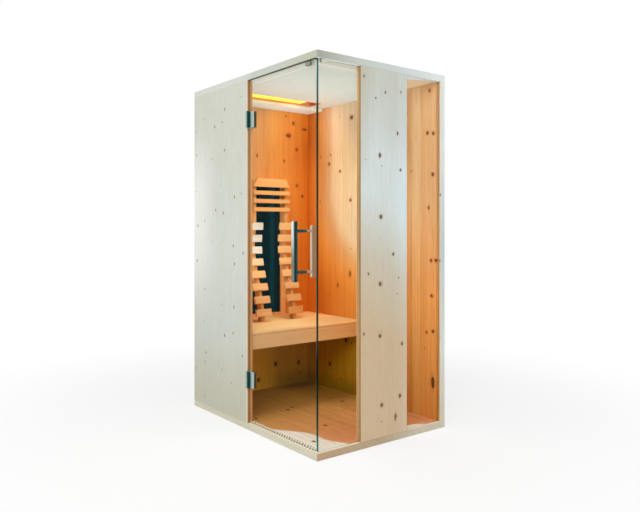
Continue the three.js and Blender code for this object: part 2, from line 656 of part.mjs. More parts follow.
function addOnRail(name, geometry, height, sideways) {
  const piece = addPiece(name, geometry, honeyLime);
  piece.applyMatrix4(seatOnRail(height));
  piece.position.y += sideways;
}

const railSides = { left: -RAIL_SPACING / 2, right: RAIL_SPACING / 2 };
for (const [side, sideways] of Object.entries(railSides)) {
  addPiece(`backrest_${side}_rail`, railSolid(), honeyLime).position.y = sideways;
  blockHeights.forEach((height, row) => {
    const block = crossBar(BLOCK_LENGTH, BLOCK_HEIGHT);
    addOnRail(`backrest_${side}_block_${row + 1}`, block, height, sideways);
  });
}
slatHeights.forEach((height, row) => {
  addOnRail(`backrest_slat_${row + 1}`, crossBar(SLAT_LENGTH, SLAT_HEIGHT), height, 0);
});

// The head slat is cut back at its upper corners
const headTop = HEAD_SLAT_HEIGHT / 2;
const headOutline = shapeOf([
  [-SLAT_LENGTH / 2, -headTop],
  [SLAT_LENGTH / 2, -headTop],
  [SLAT_LENGTH / 2 - HEAD_SLAT_TAPER, headTop],
  [-SLAT_LENGTH / 2 + HEAD_SLAT_TAPER, headTop],
]);
const headSlat = extrudeAlongX(headOutline, [-BLOCK / 2, BLOCK / 2], BLOCK_EDGE);
addOnRail("backrest_head_slat", headSlat, HEAD_SLAT_CENTRE, 0);

// Spacer board that carries the rails off the heater frame, hidden behind the head slat
const spacerX = [frameFront, INNER_LEFT + railFront(SPACER_HEIGHT) - RAIL_DEPTH - FIT];
const spacerHalf = (RAIL_SPACING + RAIL) / 2;
const spacerY = [CABIN_MIDDLE - spacerHalf, CABIN_MIDDLE + spacerHalf];
const spacerZ = [BENCH_HEIGHT + SPACER_HEIGHT, BENCH_HEIGHT + SPACER_HEIGHT + SPACER];
addPiece("backrest_spacer", bar(spacerX, spacerY, spacerZ, BOARD_EDGE), warmPine);

// Control box: a closed housing with a groove under its lid
const controlX = [LEFT + CONTROL_FROM_LEFT, LEFT + CONTROL_FROM_LEFT + CONTROL_LENGTH];
const controlY = [REAR - CONTROL_FROM_REAR - CONTROL_DEPTH, REAR - CONTROL_FROM_REAR];

function roundedPlan([x0, x1], [y0, y1], radius) {
  const plan = new THREE.Shape();
  plan.absarc(x1 - radius, y1 - radius, radius, 0, Math.PI / 2);
  plan.absarc(x0 + radius, y1 - radius, radius, Math.PI / 2, Math.PI);
  plan.absarc(x0 + radius, y0 + radius, radius, Math.PI, 1.5 * Math.PI);
  plan.absarc(x1 - radius, y0 + radius, radius, 1.5 * Math.PI, 2 * Math.PI);
  return plan;
}

function controlBox() {
  const housing = extrude(roundedPlan(controlX, controlY, CONTROL_ROUND), CONTROL_HEIGHT, CONTROL_EDGE);
  const around = bar(grown(controlX, LID_GROOVE), grown(controlY, LID_GROOVE), [0, LID_GROOVE]);
  const coreX = grown(controlX, -LID_GROOVE);
  const coreY = grown(controlY, -LID_GROOVE);
  const core = roundedPlan(coreX, coreY, CONTROL_ROUND - LID_GROOVE);
  const groove = cut(around, extrude(core, 3 * LID_GROOVE).translate(0, 0, -LID_GROOVE));
  groove.translate(0, 0, CONTROL_HEIGHT - LID_HEIGHT - LID_GROOVE);
  return cut(housing, groove);
}

function supplyGland() {
  const nut = rodAlongY(GLAND_RADIUS, 0, [0, GLAND_NUT], 0, GLAND_NUT_SIDES);
  const neck = rodAlongY(GLAND_NECK_RADIUS, 0, [GLAND_NUT / 2, GLAND_NUT + GLAND_NECK], 0);
  const bore = rodAlongY(GLAND_BORE_RADIUS, 0, [GLAND_NUT, GLAND_NUT + 2 * GLAND_NECK], 0);
  return cut(join(nut, neck), bore);
}

addPiece("control_box", controlBox(), greyPlastic).position.z = CABIN_HEIGHT;
const glandX = (controlX[0] + controlX[1]) / 2;
const glandZ = CABIN_HEIGHT + (CONTROL_HEIGHT - LID_HEIGHT) / 2;
addPiece("supply_gland", supplyGland(), darkPlastic).position.set(glandX, controlY[1] + FIT, glandZ);

export default cabin;
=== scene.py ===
# %% [markdown]
# # A sauna cabin of pine and glass
# This lesson dresses a finished set of solids: a cabin of knotty pine with a glass corner, a hinged glass door,
# a bench, a black heater and a curved backrest. The solids keep their shape and place. What is added here is what
# they are made of, the small trim between them, the light and the camera.

# %% Load the frame
import math

import bmesh
import bpy
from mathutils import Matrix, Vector


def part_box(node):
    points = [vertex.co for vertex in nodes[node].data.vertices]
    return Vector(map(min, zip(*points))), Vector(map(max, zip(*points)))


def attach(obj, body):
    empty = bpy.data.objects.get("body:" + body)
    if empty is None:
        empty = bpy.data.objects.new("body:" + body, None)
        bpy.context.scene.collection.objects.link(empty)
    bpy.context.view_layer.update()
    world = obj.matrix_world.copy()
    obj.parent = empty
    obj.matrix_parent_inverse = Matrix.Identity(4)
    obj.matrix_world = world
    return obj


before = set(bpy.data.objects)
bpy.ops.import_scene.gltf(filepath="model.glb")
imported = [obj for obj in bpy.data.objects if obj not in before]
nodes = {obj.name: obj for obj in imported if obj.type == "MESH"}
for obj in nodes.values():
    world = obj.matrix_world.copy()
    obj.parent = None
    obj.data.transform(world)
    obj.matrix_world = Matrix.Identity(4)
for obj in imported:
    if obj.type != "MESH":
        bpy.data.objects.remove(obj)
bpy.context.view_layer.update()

# %% [markdown]
# ## Camera
# The camera looks at the glass corner from about chest height, and it is level, so the panels' upright edges stay
# parallel. Tilting it would make them lean together. The horizon sits a little above the middle of the picture, and
# a small lens shift does that without a tilt.

# %% Camera
PICTURE_WIDTH = 640
HORIZON_RISE = 28

lens = bpy.data.cameras.new("cabin_camera")
lens.sensor_width = 36
lens.lens = 37.1
lens.shift_y = -HORIZON_RISE / PICTURE_WIDTH
camera = bpy.data.objects.new("cabin_camera", lens)
camera.location = (3.182, -2.368, 1.133)
camera.rotation_euler = Vector((-0.791, 0.612, 0.0)).to_track_quat("-Z", "Y").to_euler()
bpy.context.scene.collection.objects.link(camera)
bpy.context.scene.camera = camera
bpy.context.scene.view_settings.view_transform = "Standard"
print("camera looks from", [round(v, 2) for v in camera.location])

# %% [markdown]
# ## A short way to write materials
# A material is a graph of nodes, and wiring it by hand takes four lines for each node. This small class takes a
# value or another node's output for every input, so a graph reads like a formula.


# %% Material writer
class Finish:
    """One material, with short calls to add nodes to it."""

    def __init__(self, name):
        self.material = bpy.data.materials.new(name)
        self.material.use_nodes = True
        self.tree = self.material.node_tree
        self.tree.nodes.clear()
        self.output = self.tree.nodes.new("ShaderNodeOutputMaterial")

    def feed(self, socket, value):
        if isinstance(value, bpy.types.NodeSocket):
            self.tree.links.new(value, socket)
        elif socket.type == "RGBA" and len(value) == 3:
            socket.default_value = (*value, 1.0)
        else:
            socket.default_value = value

    def node(self, kind, inputs=(), **settings):
        made = self.tree.nodes.new(kind)
        for key, value in settings.items():
            setattr(made, key, value)
        for key, value in dict(inputs).items():
            self.feed(made.inputs[key], value)
        return made

    def math(self, operation, a, b=0.0, clamp=False):
        return self.node("ShaderNodeMath", {0: a, 1: b}, operation=operation, use_clamp=clamp).outputs[0]

    def times(self, *values):
        total = values[0]
        for value in values[1:]:
            total = self.math("MULTIPLY", total, value)
        return total

    def span(self, value, low, high, to_low=0.0, to_high=1.0):
        made = self.node(
            "ShaderNodeMapRange",
            {"Value": value, "From Min": low, "From Max": high, "To Min": to_low, "To Max": to_high},
            interpolation_type="SMOOTHSTEP",
        )
        return made.outputs["Result"]

    def place(self):
        return self.node("ShaderNodeTexCoord").outputs["Object"]

    def axes(self, vector):
        return self.node("ShaderNodeSeparateXYZ", {"Vector": vector}).outputs

    def vector(self, x, y, z):
        return self.node("ShaderNodeCombineXYZ", {"X": x, "Y": y, "Z": z}).outputs["Vector"]

    def stretched(self, place, x, y, z):
        made = self.node("ShaderNodeMapping", {"Vector": place, "Scale": (x, y, z)})
        return made.outputs["Vector"]

    def distance(self, place, centre, scale):
        """Distance from centre, in units of 1/scale on each axis."""
        shift = tuple(-c * s for c, s in zip(centre, scale))
        moved = self.node("ShaderNodeMapping", {"Vector": place, "Location": shift, "Scale": scale})
        return self.node("ShaderNodeVectorMath", {0: moved.outputs["Vector"]}, operation="LENGTH").outputs["Value"]

    def noise(self, vector, scale=1.0, detail=2.0, rough=0.5):
        made = self.node(
            "ShaderNodeTexNoise",
            {"Vector": vector, "Scale": scale, "Detail": detail, "Roughness": rough},
        )
        return made.outputs["Fac"]

    def mix(self, factor, a, b, blend="MIX"):
        made = self.node("ShaderNodeMix", {"Factor": factor}, data_type="RGBA", blend_type=blend)
        self.feed(made.inputs[6], a)
        self.feed(made.inputs[7], b)
        return made.outputs[2]

    def ramp(self, value, *stops):
        made = self.node("ShaderNodeValToRGB", {"Fac": value})
        points = made.color_ramp.elements
        while len(points) < len(stops):
            points.new(0.5)
        for point, (position, colour) in zip(points, stops):
            point.position = position
            point.color = (*colour, 1.0)
        return made.outputs["Color"]

    def bump(self, height, depth, strength=1.0):
        made = self.node("ShaderNodeBump", {"Height": height, "Distance": depth, "Strength": strength})
        return made.outputs["Normal"]

    def shader(self, **inputs):
        named = {key.replace("_", " "): value for key, value in inputs.items()}
        return self.node("ShaderNodeBsdfPrincipled", named).outputs["BSDF"]

    def show(self, shader):
        self.tree.links.new(shader, self.output.inputs["Surface"])
        return self.material


def dress(material, *names):
    for name in names:
        slots = nodes[name].data.materials
        slots.clear()
        slots.append(material)
    print(material.name, "on", len(names), "nodes")


def tone(red, green, blue):
    """A colour picker's 0 to 255 numbers as the linear values that a shader takes."""
    levels = [value / 255 for value in (red, green, blue)]
    return tuple(v / 12.92 if v <= 0.04045 else ((v + 0.055) / 1.055) ** 2.4 for v in levels)


# %% [markdown]
# ## Floor and light
# A product picture on white needs a floor that is as white as the background and still takes the cabin's shadow.
# Here the floor and the world look plain white to the eye, to glossy rays and through glass, while the light that
# they give to the cabin stays at a plain level.

# %% Floor
FLOOR_REACH = 30.0
FLOOR_GLOW = 0.72
FLOOR_FADE = (1.0, 3.0)


def seen_rays(finish):
    path = finish.node("ShaderNodeLightPath").outputs
    direct = finish.math("MAXIMUM", path["Is Camera Ray"], path["Is Glossy Ray"])
    return finish.math("MAXIMUM", direct, path["Is Transmission Ray"])


floor_paint = Finish("studio_floor")
matt = floor_paint.node("ShaderNodeBsdfDiffuse", {"Color": (0.93, 0.93, 0.93)}).outputs[0]
glow = floor_paint.node("ShaderNodeEmission", {"Color": (1.0, 1.0, 1.0), "Strength": 1.0}).outputs[0]
far_off = floor_paint.distance(floor_paint.place(), (0, 0, 0), (1, 1, 1))
whiteness = floor_paint.span(far_off, *FLOOR_FADE, FLOOR_GLOW, 1.0)
share = floor_paint.times(seen_rays(floor_paint), whiteness)
floor_paint.show(floor_paint.node("ShaderNodeMixShader", {0: share, 1: matt, 2: glow}).outputs[0])

floor_mesh = bpy.data.meshes.new("studio_floor")
reach = FLOOR_REACH
floor_mesh.from_pydata(
    [(-reach, -reach, 0), (reach, -reach, 0), (reach, reach, 0), (-reach, reach, 0)], [], [(0, 1, 2, 3)]
)
floor_mesh.materials.append(floor_paint.material)
studio_floor = bpy.data.objects.new("studio_floor", floor_mesh)
bpy.context.scene.collection.objects.link(studio_floor)
print("floor is", 2 * FLOOR_REACH, "m wide")

# %% Sky
SKY_LIGHT = 0.52

world = bpy.data.worlds.new("studio_world")
bpy.context.scene.world = world
world.use_nodes = True
sky = world.node_tree
path = sky.nodes.new("ShaderNodeLightPath").outputs
nearest = sky.nodes.new("ShaderNodeMath")
nearest.operation = "MAXIMUM"
widest = sky.nodes.new("ShaderNodeMath")
widest.operation = "MAXIMUM"
level = sky.nodes.new("ShaderNodeMapRange")
level.inputs["To Min"].default_value = SKY_LIGHT
sky.links.new(path["Is Camera Ray"], nearest.inputs[0])
sky.links.new(path["Is Glossy Ray"], nearest.inputs[1])
sky.links.new(nearest.outputs[0], widest.inputs[0])
sky.links.new(path["Is Transmission Ray"], widest.inputs[1])
sky.links.new(widest.outputs[0], level.inputs["Value"])
sky.nodes["Background"].inputs["Color"].default_value = (1.0, 1.0, 1.0, 1.0)
sky.links.new(level.outputs["Result"], sky.nodes["Background"].inputs["Strength"])
print("sky gives", SKY_LIGHT)

# %% [markdown]
# Three soft lamps stand outside, and five small ones light the room inside, because most of the daylight stops at
# the panels. None of them shows in the glass. Bright steel in a white room would have no shape at all, so a dark
# curved screen stands behind the camera, and only reflections see it.


# %% Lamps
def soft_lamp(name, place, target, size, power, colour, spread=180):
    lamp = bpy.data.lights.new(name, "AREA")
    lamp.shape = "DISK"
    lamp.size = size
    lamp.energy = power
    lamp.spread = math.radians(spread)
    lamp.color = colour
    made = bpy.data.objects.new(name, lamp)
    made.location = place
    made.rotation_euler = (Vector(target) - Vector(place)).to_track_quat("-Z", "Y").to_euler()
    made.visible_camera = made.visible_glossy = made.visible_transmission = False
    bpy.context.scene.collection.objects.link(made)
    return made


soft_lamp("key_lamp", (3.4, -3.6, 3.6), (0.1, 0.0, 1.0), 2.6, 105, (1.0, 0.99, 0.97))
soft_lamp("side_lamp", (4.2, 1.6, 2.6), (0.3, 0.0, 1.0), 2.2, 34, (0.97, 0.99, 1.0))
soft_lamp("door_lamp", (-1.4, -4.2, 2.6), (-0.2, 0.0, 1.0), 2.2, 40, (0.97, 0.99, 1.0))
soft_lamp("ceiling_lamp", (0.05, 0.03, 0.60), (0.05, 0.03, 2.0), 0.7, 3.8, (0.64, 0.88, 1.0), 90)
soft_lamp("room_lamp", (0.05, 0.03, 1.86), (-0.30, 0.05, 0.5), 0.6, 4.0, (1.0, 0.98, 0.94), 120)
soft_lamp("cover_lamp", (-0.26, 0.1, 1.80), (-0.60, 0.30, 1.55), 0.3, 0.56, (1.0, 0.97, 0.92), 150)
soft_lamp("wall_lamp", (-0.2, 0.0, 1.7), (-0.32, 0.45, 1.88), 0.2, 0.17, (1.0, 0.64, 0.38), 80)
soft_lamp("backrest_lamp", (-0.33, -0.34, 1.0), (-0.42, 0.08, 1.0), 0.36, 0.8, (1.0, 0.98, 0.94), 100)
print("lamps:", len(bpy.data.lights))

# %% Dark screen
SCREEN_REACH = 7.0
SCREEN_HEIGHT = 7.0
SCREEN_FROM = -36
SCREEN_TO = 130
SCREEN_STEPS = 24
SCREEN_APRON = 1.15

screen_paint = Finish("dark_screen")
weave = screen_paint.noise(screen_paint.place(), 0.4)
screen_paint.show(
    screen_paint.node(
        "ShaderNodeEmission",
        {"Color": screen_paint.mix(weave, tone(10, 62, 60), tone(26, 84, 82)), "Strength": 1.0},
    ).outputs[0]
)
corners = []
for step in range(SCREEN_STEPS + 1):
    turn = math.radians(SCREEN_FROM + (SCREEN_TO - SCREEN_FROM) * step / SCREEN_STEPS)
    x, y = SCREEN_REACH * math.cos(turn), SCREEN_REACH * math.sin(turn)
    near = SCREEN_APRON / SCREEN_REACH
    corners += [(x * near, y * near, 0.02), (x, y, 0.02), (x, y, SCREEN_HEIGHT)]
screen_mesh = bpy.data.meshes.new("dark_screen")
quads = []
for start in range(0, 3 * SCREEN_STEPS, 3):
    quads += [(start + k, start + k + 1, start + k + 4, start + k + 3) for k in (0, 1)]
screen_mesh.from_pydata(corners, [], quads)
screen_mesh.materials.append(screen_paint.material)
dark_screen = bpy.data.objects.new("dark_screen", screen_mesh)
dark_screen.visible_camera = dark_screen.visible_diffuse = dark_screen.visible_transmission = False
dark_screen.visible_shadow = dark_screen.visible_volume_scatter = False
bpy.context.scene.collection.objects.link(dark_screen)
print("screen spans", SCREEN_TO - SCREEN_FROM, "degrees")

# %% [markdown]
# ## Knotty pine
# The panels are glued from pine boards. Up close such a board shows long growth lines that bend round each knot,
# fine fibres along the grain and a slightly different tone on every board. A photograph of wood would repeat, so the
# growth lines here are the height lines of a stretched noise: the same rule as a map's contour lines.
#
# A knot is a branch that the board was sawn across, so it goes through the board and shows on both faces. The big
# ones are set one by one, and small ones are scattered by a Voronoi pattern.

# %% Grain
BOARD_WIDTH = 0.118
JOINT_WIDTH = 0.0011


def grain(finish, along, bend=0.0):
    """The boards of a panel: each board's own tone, glue joint, growth lines, fibres and streaks, from 0 to 1."""
    x, y, z = finish.axes(finish.place())
    run, across = {
        "X": (x, finish.math("ADD", y, z)),
        "Y": (y, finish.math("ADD", x, z)),
        "Z": (z, finish.math("ADD", x, y)),
    }[along]
    share = finish.math("DIVIDE", across, BOARD_WIDTH)
    chance = finish.node(
        "ShaderNodeTexWhiteNoise", {"W": finish.math("FLOOR", share)}, noise_dimensions="1D"
    ).outputs["Value"]
    joint = finish.math("LESS_THAN", finish.math("FRACT", share), JOINT_WIDTH / BOARD_WIDTH)
    slow = finish.vector(finish.times(across, 15.0), finish.times(run, 0.5), finish.times(chance, 40.0))
    field = finish.math("ADD", finish.noise(slow, 1.0, 2.0, 0.45), bend)
    step = finish.math("FRACT", finish.times(field, 11.0))
    lines = finish.times(finish.span(step, 0.3, 0.9), finish.span(step, 1.0, 0.93))
    thread = finish.vector(finish.times(across, 520.0), finish.times(run, 11.0), chance)
    streak = finish.vector(finish.times(across, 70.0), finish.times(run, 1.3), chance)
    fibre = finish.noise(thread, 1.0, 2.0, 0.6)
    return run, across, chance, joint, lines, fibre, finish.noise(streak, 1.0, 3.0, 0.55)


def set_knots(finish, spots, thick):
    """How far a point is from the nearest knot, 1 on its rim. A spot is its middle and half size, seen along thick."""
    place = finish.place()
    wander = finish.node("ShaderNodeTexNoise", {"Vector": place, "Scale": 55.0, "Detail": 1.0}).outputs["Color"]
    shake = finish.node("ShaderNodeVectorMath", {0: wander, 1: (0.014, 0.014, 0.014)}, operation="MULTIPLY")
    place = finish.node("ShaderNodeVectorMath", {0: place, 1: shake.outputs[0]}, operation="ADD").outputs[0]
    blank = "XYZ".index(thick)
    nearest_knot = 9.0
    for across, up, half_width, half_height in spots:
        centre, scale = [across + 0.007, up + 0.007], [1 / half_width, 1 / half_height]
        centre.insert(blank, 0.0)
        scale.insert(blank, 0.0)
        nearest_knot = finish.math("MINIMUM", nearest_knot, finish.distance(place, centre, scale))
    return nearest_knot


def scattered_knots(finish, run, across, share, size):
    """The same distance for small knots strewn over the boards. share of the cells hold one."""
    cell = finish.vector(finish.times(across, 9.0), finish.times(run, 6.2), 0.0)
    spots = finish.node(
        "ShaderNodeTexVoronoi", {"Vector": cell, "Scale": 1.0, "Randomness": 0.95}, voronoi_dimensions="2D"
    ).outputs
    luck = finish.axes(spots["Color"])[0]
    radius = finish.math("MAXIMUM", finish.span(luck, 1.0 - share, 1.0, size * 0.35, size), 0.001)
    far = finish.math("DIVIDE", spots["Distance"], radius)
    return finish.math("ADD", far, finish.times(finish.math("LESS_THAN", luck, 1.0 - share), 9.0))


print("boards are", BOARD_WIDTH * 1000, "mm wide")

# %% Pine
RED_KNOTS = (tone(132, 54, 10), tone(86, 30, 2))
DARK_KNOTS = (tone(74, 46, 12), tone(44, 28, 4))
GREY_KNOTS = (tone(126, 110, 96), tone(92, 80, 70))
OUTSIDE_CONTRAST = 0.2


def pine(name, along, paint, spots=(), thick="Y", share=0.3, size=0.05, contrast=1.0, knots=RED_KNOTS, wall=False):
    """Pine, grained along one axis, over the colour of paint(finish).
    A wall's outside is fainter, and its knots are painted darker under the bench, as shade.
    """
    finish = Finish(name)
    inside = inside_mask(finish) if wall else None
    if wall:
        # Painted shade: knots turn darker under the bench.
        low = finish.span(finish.axes(finish.place())[2], 0.47, 0.40)
        knots = [finish.mix(low, *pair) for pair in zip(knots, DARK_KNOTS)]
        knots = [finish.mix(inside, *pair) for pair in zip(GREY_KNOTS, knots)]
    level = finish.span(inside, 0.0, 1.0, OUTSIDE_CONTRAST, contrast) if wall else contrast

    def part(share_of_it):
        return finish.times(level, share_of_it) if wall else level * share_of_it

    big = set_knots(finish, spots, thick) if spots else 9.0
    halo = finish.span(big, 3.0, 0.8) if spots else 0.0
    bend = finish.times(halo, 0.22) if spots else 0.0
    run, across, chance, joint, lines, fibre, streak = grain(finish, along, bend)
    nearest_knot = big
    if share:
        small = scattered_knots(finish, run, across, share, size)
        nearest_knot = finish.math("MINIMUM", small, big) if spots else small

    colour = paint(finish)
    colour = finish.mix(finish.span(chance, 0.0, 1.0, 0.0, part(0.8)), colour, (0.86, 0.82, 0.76), "MULTIPLY")
    colour = finish.mix(finish.span(streak, 0.4, 0.72, 0.0, level), colour, (0.83, 0.78, 0.70), "MULTIPLY")
    colour = finish.mix(finish.times(lines, part(0.42)), colour, (0.78, 0.68, 0.56), "MULTIPLY")
    colour = finish.mix(finish.times(joint, part(0.8)), colour, (0.80, 0.72, 0.62), "MULTIPLY")
    colour = finish.mix(finish.span(fibre, 0.35, 0.75, 0.0, 0.7), colour, (0.88, 0.84, 0.79), "MULTIPLY")
    rough = finish.span(fibre, 0.3, 0.7, 0.5, 0.66)
    height = finish.math("ADD", finish.times(fibre, 0.6), finish.times(lines, 0.4))
    if share or spots:
        ring = finish.span(nearest_knot, 2.4, 1.0, 0.0, 0.55)
        colour = finish.mix(ring, colour, (0.80, 0.64, 0.50), "MULTIPLY")
        heart = finish.mix(finish.span(nearest_knot, 0.35, 0.95), *knots)
        colour = finish.mix(finish.span(nearest_knot, 1.15, 0.85, 0.0, 0.9), colour, heart)
    return finish.show(
        finish.shader(Base_Color=colour, Roughness=rough, Normal=finish.bump(height, 0.0004, 0.5), IOR=1.45)
    )


# %% [markdown]
# ## Colours of the panels
# Outside the pine is pale. Inside it is warmer, and painted warm light makes it amber, most of all in the far corner
# behind the bench, and least high up near the glass, where painted daylight keeps it pale. Under the bench it is
# painted olive, as shade. One mask tells the two apart: whatever lies on the outer faces of the cabin's box is
# outside.

# %% Inside and outside
OUTER_SKIN = 0.0016

walls_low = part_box("hinge_wall")[0]
walls_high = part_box("side_wall")[1]
roof_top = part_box("roof_panel")[1].z
back_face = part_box("back_wall")[1].x
side_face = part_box("side_wall")[0].y


def within(finish, value, low, high):
    above = finish.math("GREATER_THAN", value, low)
    return finish.times(above, finish.math("LESS_THAN", value, high))


def inside_mask(finish):
    """1 where a point is deeper than the cabin's outer faces, 0 on them."""
    x, y, z = finish.axes(finish.place())
    along = within(finish, x, walls_low.x + OUTER_SKIN, walls_high.x - OUTER_SKIN)
    inwards = within(finish, y, walls_low.y + OUTER_SKIN, walls_high.y - OUTER_SKIN)
    return finish.times(along, inwards, finish.math("LESS_THAN", z, roof_top - OUTER_SKIN))


PALE = tone(213, 218, 211)
PALE_REAR = tone(222, 219, 206)
# Inside tones: the pine's warm colour with painted warm light and daylight; OLIVE is painted shade under the bench.
CORNER_AMBER = tone(214, 112, 6)
AMBER = tone(217, 142, 60)
HONEY_PINE = tone(204, 154, 100)
CREAM = tone(216, 193, 156)
OLIVE = tone(210, 170, 14)
OLIVE_SIDE = tone(190, 150, 8)
# HIGH_UP and LEFT_GLOW multiply in painted light, FOOT_SHADE painted shade.
HIGH_UP = (1.28, 1.48, 1.95)
FOOT_SHADE = (0.62, 0.66, 0.35)
LEFT_GLOW = (1.45, 1.6, 1.25)


def pine_with_painted_light(finish):
    place = finish.place()
    x, y, z = finish.axes(place)
    far = finish.distance(place, (back_face, side_face, 0), (1.0, 0.35, 0.0))
    near_bench = finish.span(z, 0.7, 1.4, 0.22, 1.0)
    # The pine's warm tone with painted warm light, deepest amber in the far corner, paler towards the glass.
    colour = finish.ramp(
        finish.times(far, near_bench), (0.0, CORNER_AMBER), (0.1, AMBER), (0.2, HONEY_PINE), (0.3, CREAM)
    )
    # Painted light, brighter near the ceiling.
    colour = finish.mix(finish.span(z, 1.6, 1.93), colour, HIGH_UP, "MULTIPLY")
    # Painted shade under the bench, olive.
    olive = finish.mix(finish.span(x, -0.45, -0.2), OLIVE, OLIVE_SIDE)
    below_bench = finish.times(finish.span(z, 0.47, 0.40), finish.span(x, 0.06, -0.08))
    colour = finish.mix(finish.times(below_bench, 0.85), colour, olive)
    # Painted light under the bench, towards the hinge wall.
    glow = finish.times(below_bench, finish.span(y, 0.22, 0.06))
    colour = finish.mix(glow, colour, LEFT_GLOW, "MULTIPLY")
    # Painted shade at the foot of the far corner.
    foot = finish.times(finish.span(z, 0.17, 0.05), finish.span(y, 0.1, 0.3))
    return finish.mix(foot, colour, FOOT_SHADE, "MULTIPLY")


print("inside faces at", round(back_face, 3), round(side_face, 3))

# %% Hinge wall
WALL_FOOT = tone(197, 196, 179)
WALL_LOW = tone(204, 208, 199)
WALL_HEAD = tone(207, 210, 199)
WALL_BRIGHT = tone(238, 241, 237)
WALL_RIM = tone(226, 209, 182)
END_FRONT = tone(172, 134, 98)
END_MIDDLE = tone(146, 100, 58)
END_REAR = tone(204, 156, 106)

wall_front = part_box("hinge_wall")[0].y
wall_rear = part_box("hinge_wall")[1].y
door_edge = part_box("hinge_wall")[1].x


def hinge_wall_paint(finish):
    x, y, z = finish.axes(finish.place())
    rise = finish.span(z, 0.0, 2.0)
    # Outside tones by height, with painted shade at the foot where the wall meets the base.
    face = finish.ramp(rise, (0.01, WALL_FOOT), (0.12, WALL_LOW), (0.5, PALE), (1.0, WALL_HEAD))
    # A painted highlight in the middle of the outer face.
    wear_and_sheen = finish.times(finish.span(x, -0.30, -0.62), finish.span(z, 0.45, 1.15), finish.span(z, 1.85, 1.3))
    face = finish.mix(wear_and_sheen, face, WALL_BRIGHT)
    # A painted highlight along the edge by the door.
    face = finish.mix(finish.span(x, door_edge - 0.018, door_edge - 0.006), face, WALL_RIM)
    # The end face in painted shade: darkest in the middle of its depth, lightest deep inside.
    through = finish.span(y, wall_front, wall_rear)
    end_tone = finish.ramp(through, (0.0, END_FRONT), (0.35, END_MIDDLE), (0.9, END_REAR))
    end = finish.math("GREATER_THAN", x, door_edge - OUTER_SKIN)
    return finish.mix(inside_mask(finish), face, finish.mix(end, pine_with_painted_light(finish), end_tone))


dress(
    pine("hinge_wall_pine", "Z", hinge_wall_paint, share=0.6, size=0.05, contrast=0.12, knots=GREY_KNOTS),
    "hinge_wall",
)

# %% Centre panel
PANEL_TOP = tone(204, 207, 199)
PANEL_MIDDLE = tone(217, 228, 228)
PANEL_WAIST = tone(210, 202, 184)
PANEL_FOOT = tone(212, 188, 156)
PANEL_RIGHT = (1.06, 1.10, 1.16)
PANEL_LEFT = (0.90, 0.85, 0.78)
SIDES_OUTER = tone(164, 122, 74)
SIDES_MIDDLE = tone(194, 150, 98)
SIDES_INNER = tone(244, 196, 140)
UMBER_KNOTS = (tone(112, 80, 58), tone(66, 44, 32))
CENTRE_KNOTS = [
    (-0.010, 1.512, 0.0104, 0.0112), (-0.002, 1.191, 0.0104, 0.0104), (-0.006, 0.840, 0.0104, 0.0104),
    (-0.008, 0.568, 0.0088, 0.0096), (0.004, 0.203, 0.0096, 0.0104), (0.104, 0.125, 0.0064, 0.0192),
    (-0.119, 1.914, 0.0056, 0.0080), (0.031, 1.848, 0.0056, 0.0064), (0.143, 1.862, 0.0048, 0.0064),
    (-0.038, 1.810, 0.0048, 0.0056), (0.119, 1.638, 0.0056, 0.0080), (0.141, 1.445, 0.0064, 0.0072),
    (0.088, 0.994, 0.0072, 0.0080), (-0.091, 0.897, 0.0048, 0.0064), (0.153, 0.511, 0.0072, 0.0088),
    (0.137, 0.233, 0.0080, 0.0104), (-0.121, 0.590, 0.0048, 0.0080),
]


def centre_panel_paint(finish):
    x, y, z = finish.axes(finish.place())
    # Outside tones along a slanted height, painted as light: warmer at the foot, lightest in the middle.
    rise = finish.span(finish.math("ADD", z, finish.times(y, 0.6)), 0.0, 2.0)
    face = finish.ramp(
        rise, (0.2, PANEL_FOOT), (0.46, PANEL_WAIST), (0.7, PANEL_MIDDLE), (0.85, PANEL_MIDDLE), (1.0, PANEL_TOP)
    )
    low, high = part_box("centre_panel")
    # Painted light by the right edge and painted shade at the upper left.
    face = finish.mix(finish.span(y, high.y - 0.12, high.y), face, PANEL_RIGHT, "MULTIPLY")
    upper_left = finish.times(finish.span(y, low.y + 0.12, low.y), finish.span(z, 1.3, 1.6))
    face = finish.mix(upper_left, face, PANEL_LEFT, "MULTIPLY")
    middle = within(finish, y, low.y + OUTER_SKIN, high.y - OUTER_SKIN)
    # The panel's sides in painted shade: dark by the outer edge, light deep inside.
    through = finish.span(x, high.x, low.x)
    sides = finish.ramp(through, (0.1, SIDES_OUTER), (0.5, SIDES_MIDDLE), (0.9, SIDES_INNER))
    inner = finish.mix(middle, sides, pine_with_painted_light(finish))
    return finish.mix(inside_mask(finish), face, inner)


dress(
    pine("centre_panel_pine", "Z", centre_panel_paint, CENTRE_KNOTS, "X", 0.25, 0.03, 0.15, UMBER_KNOTS),
    "centre_panel",
)

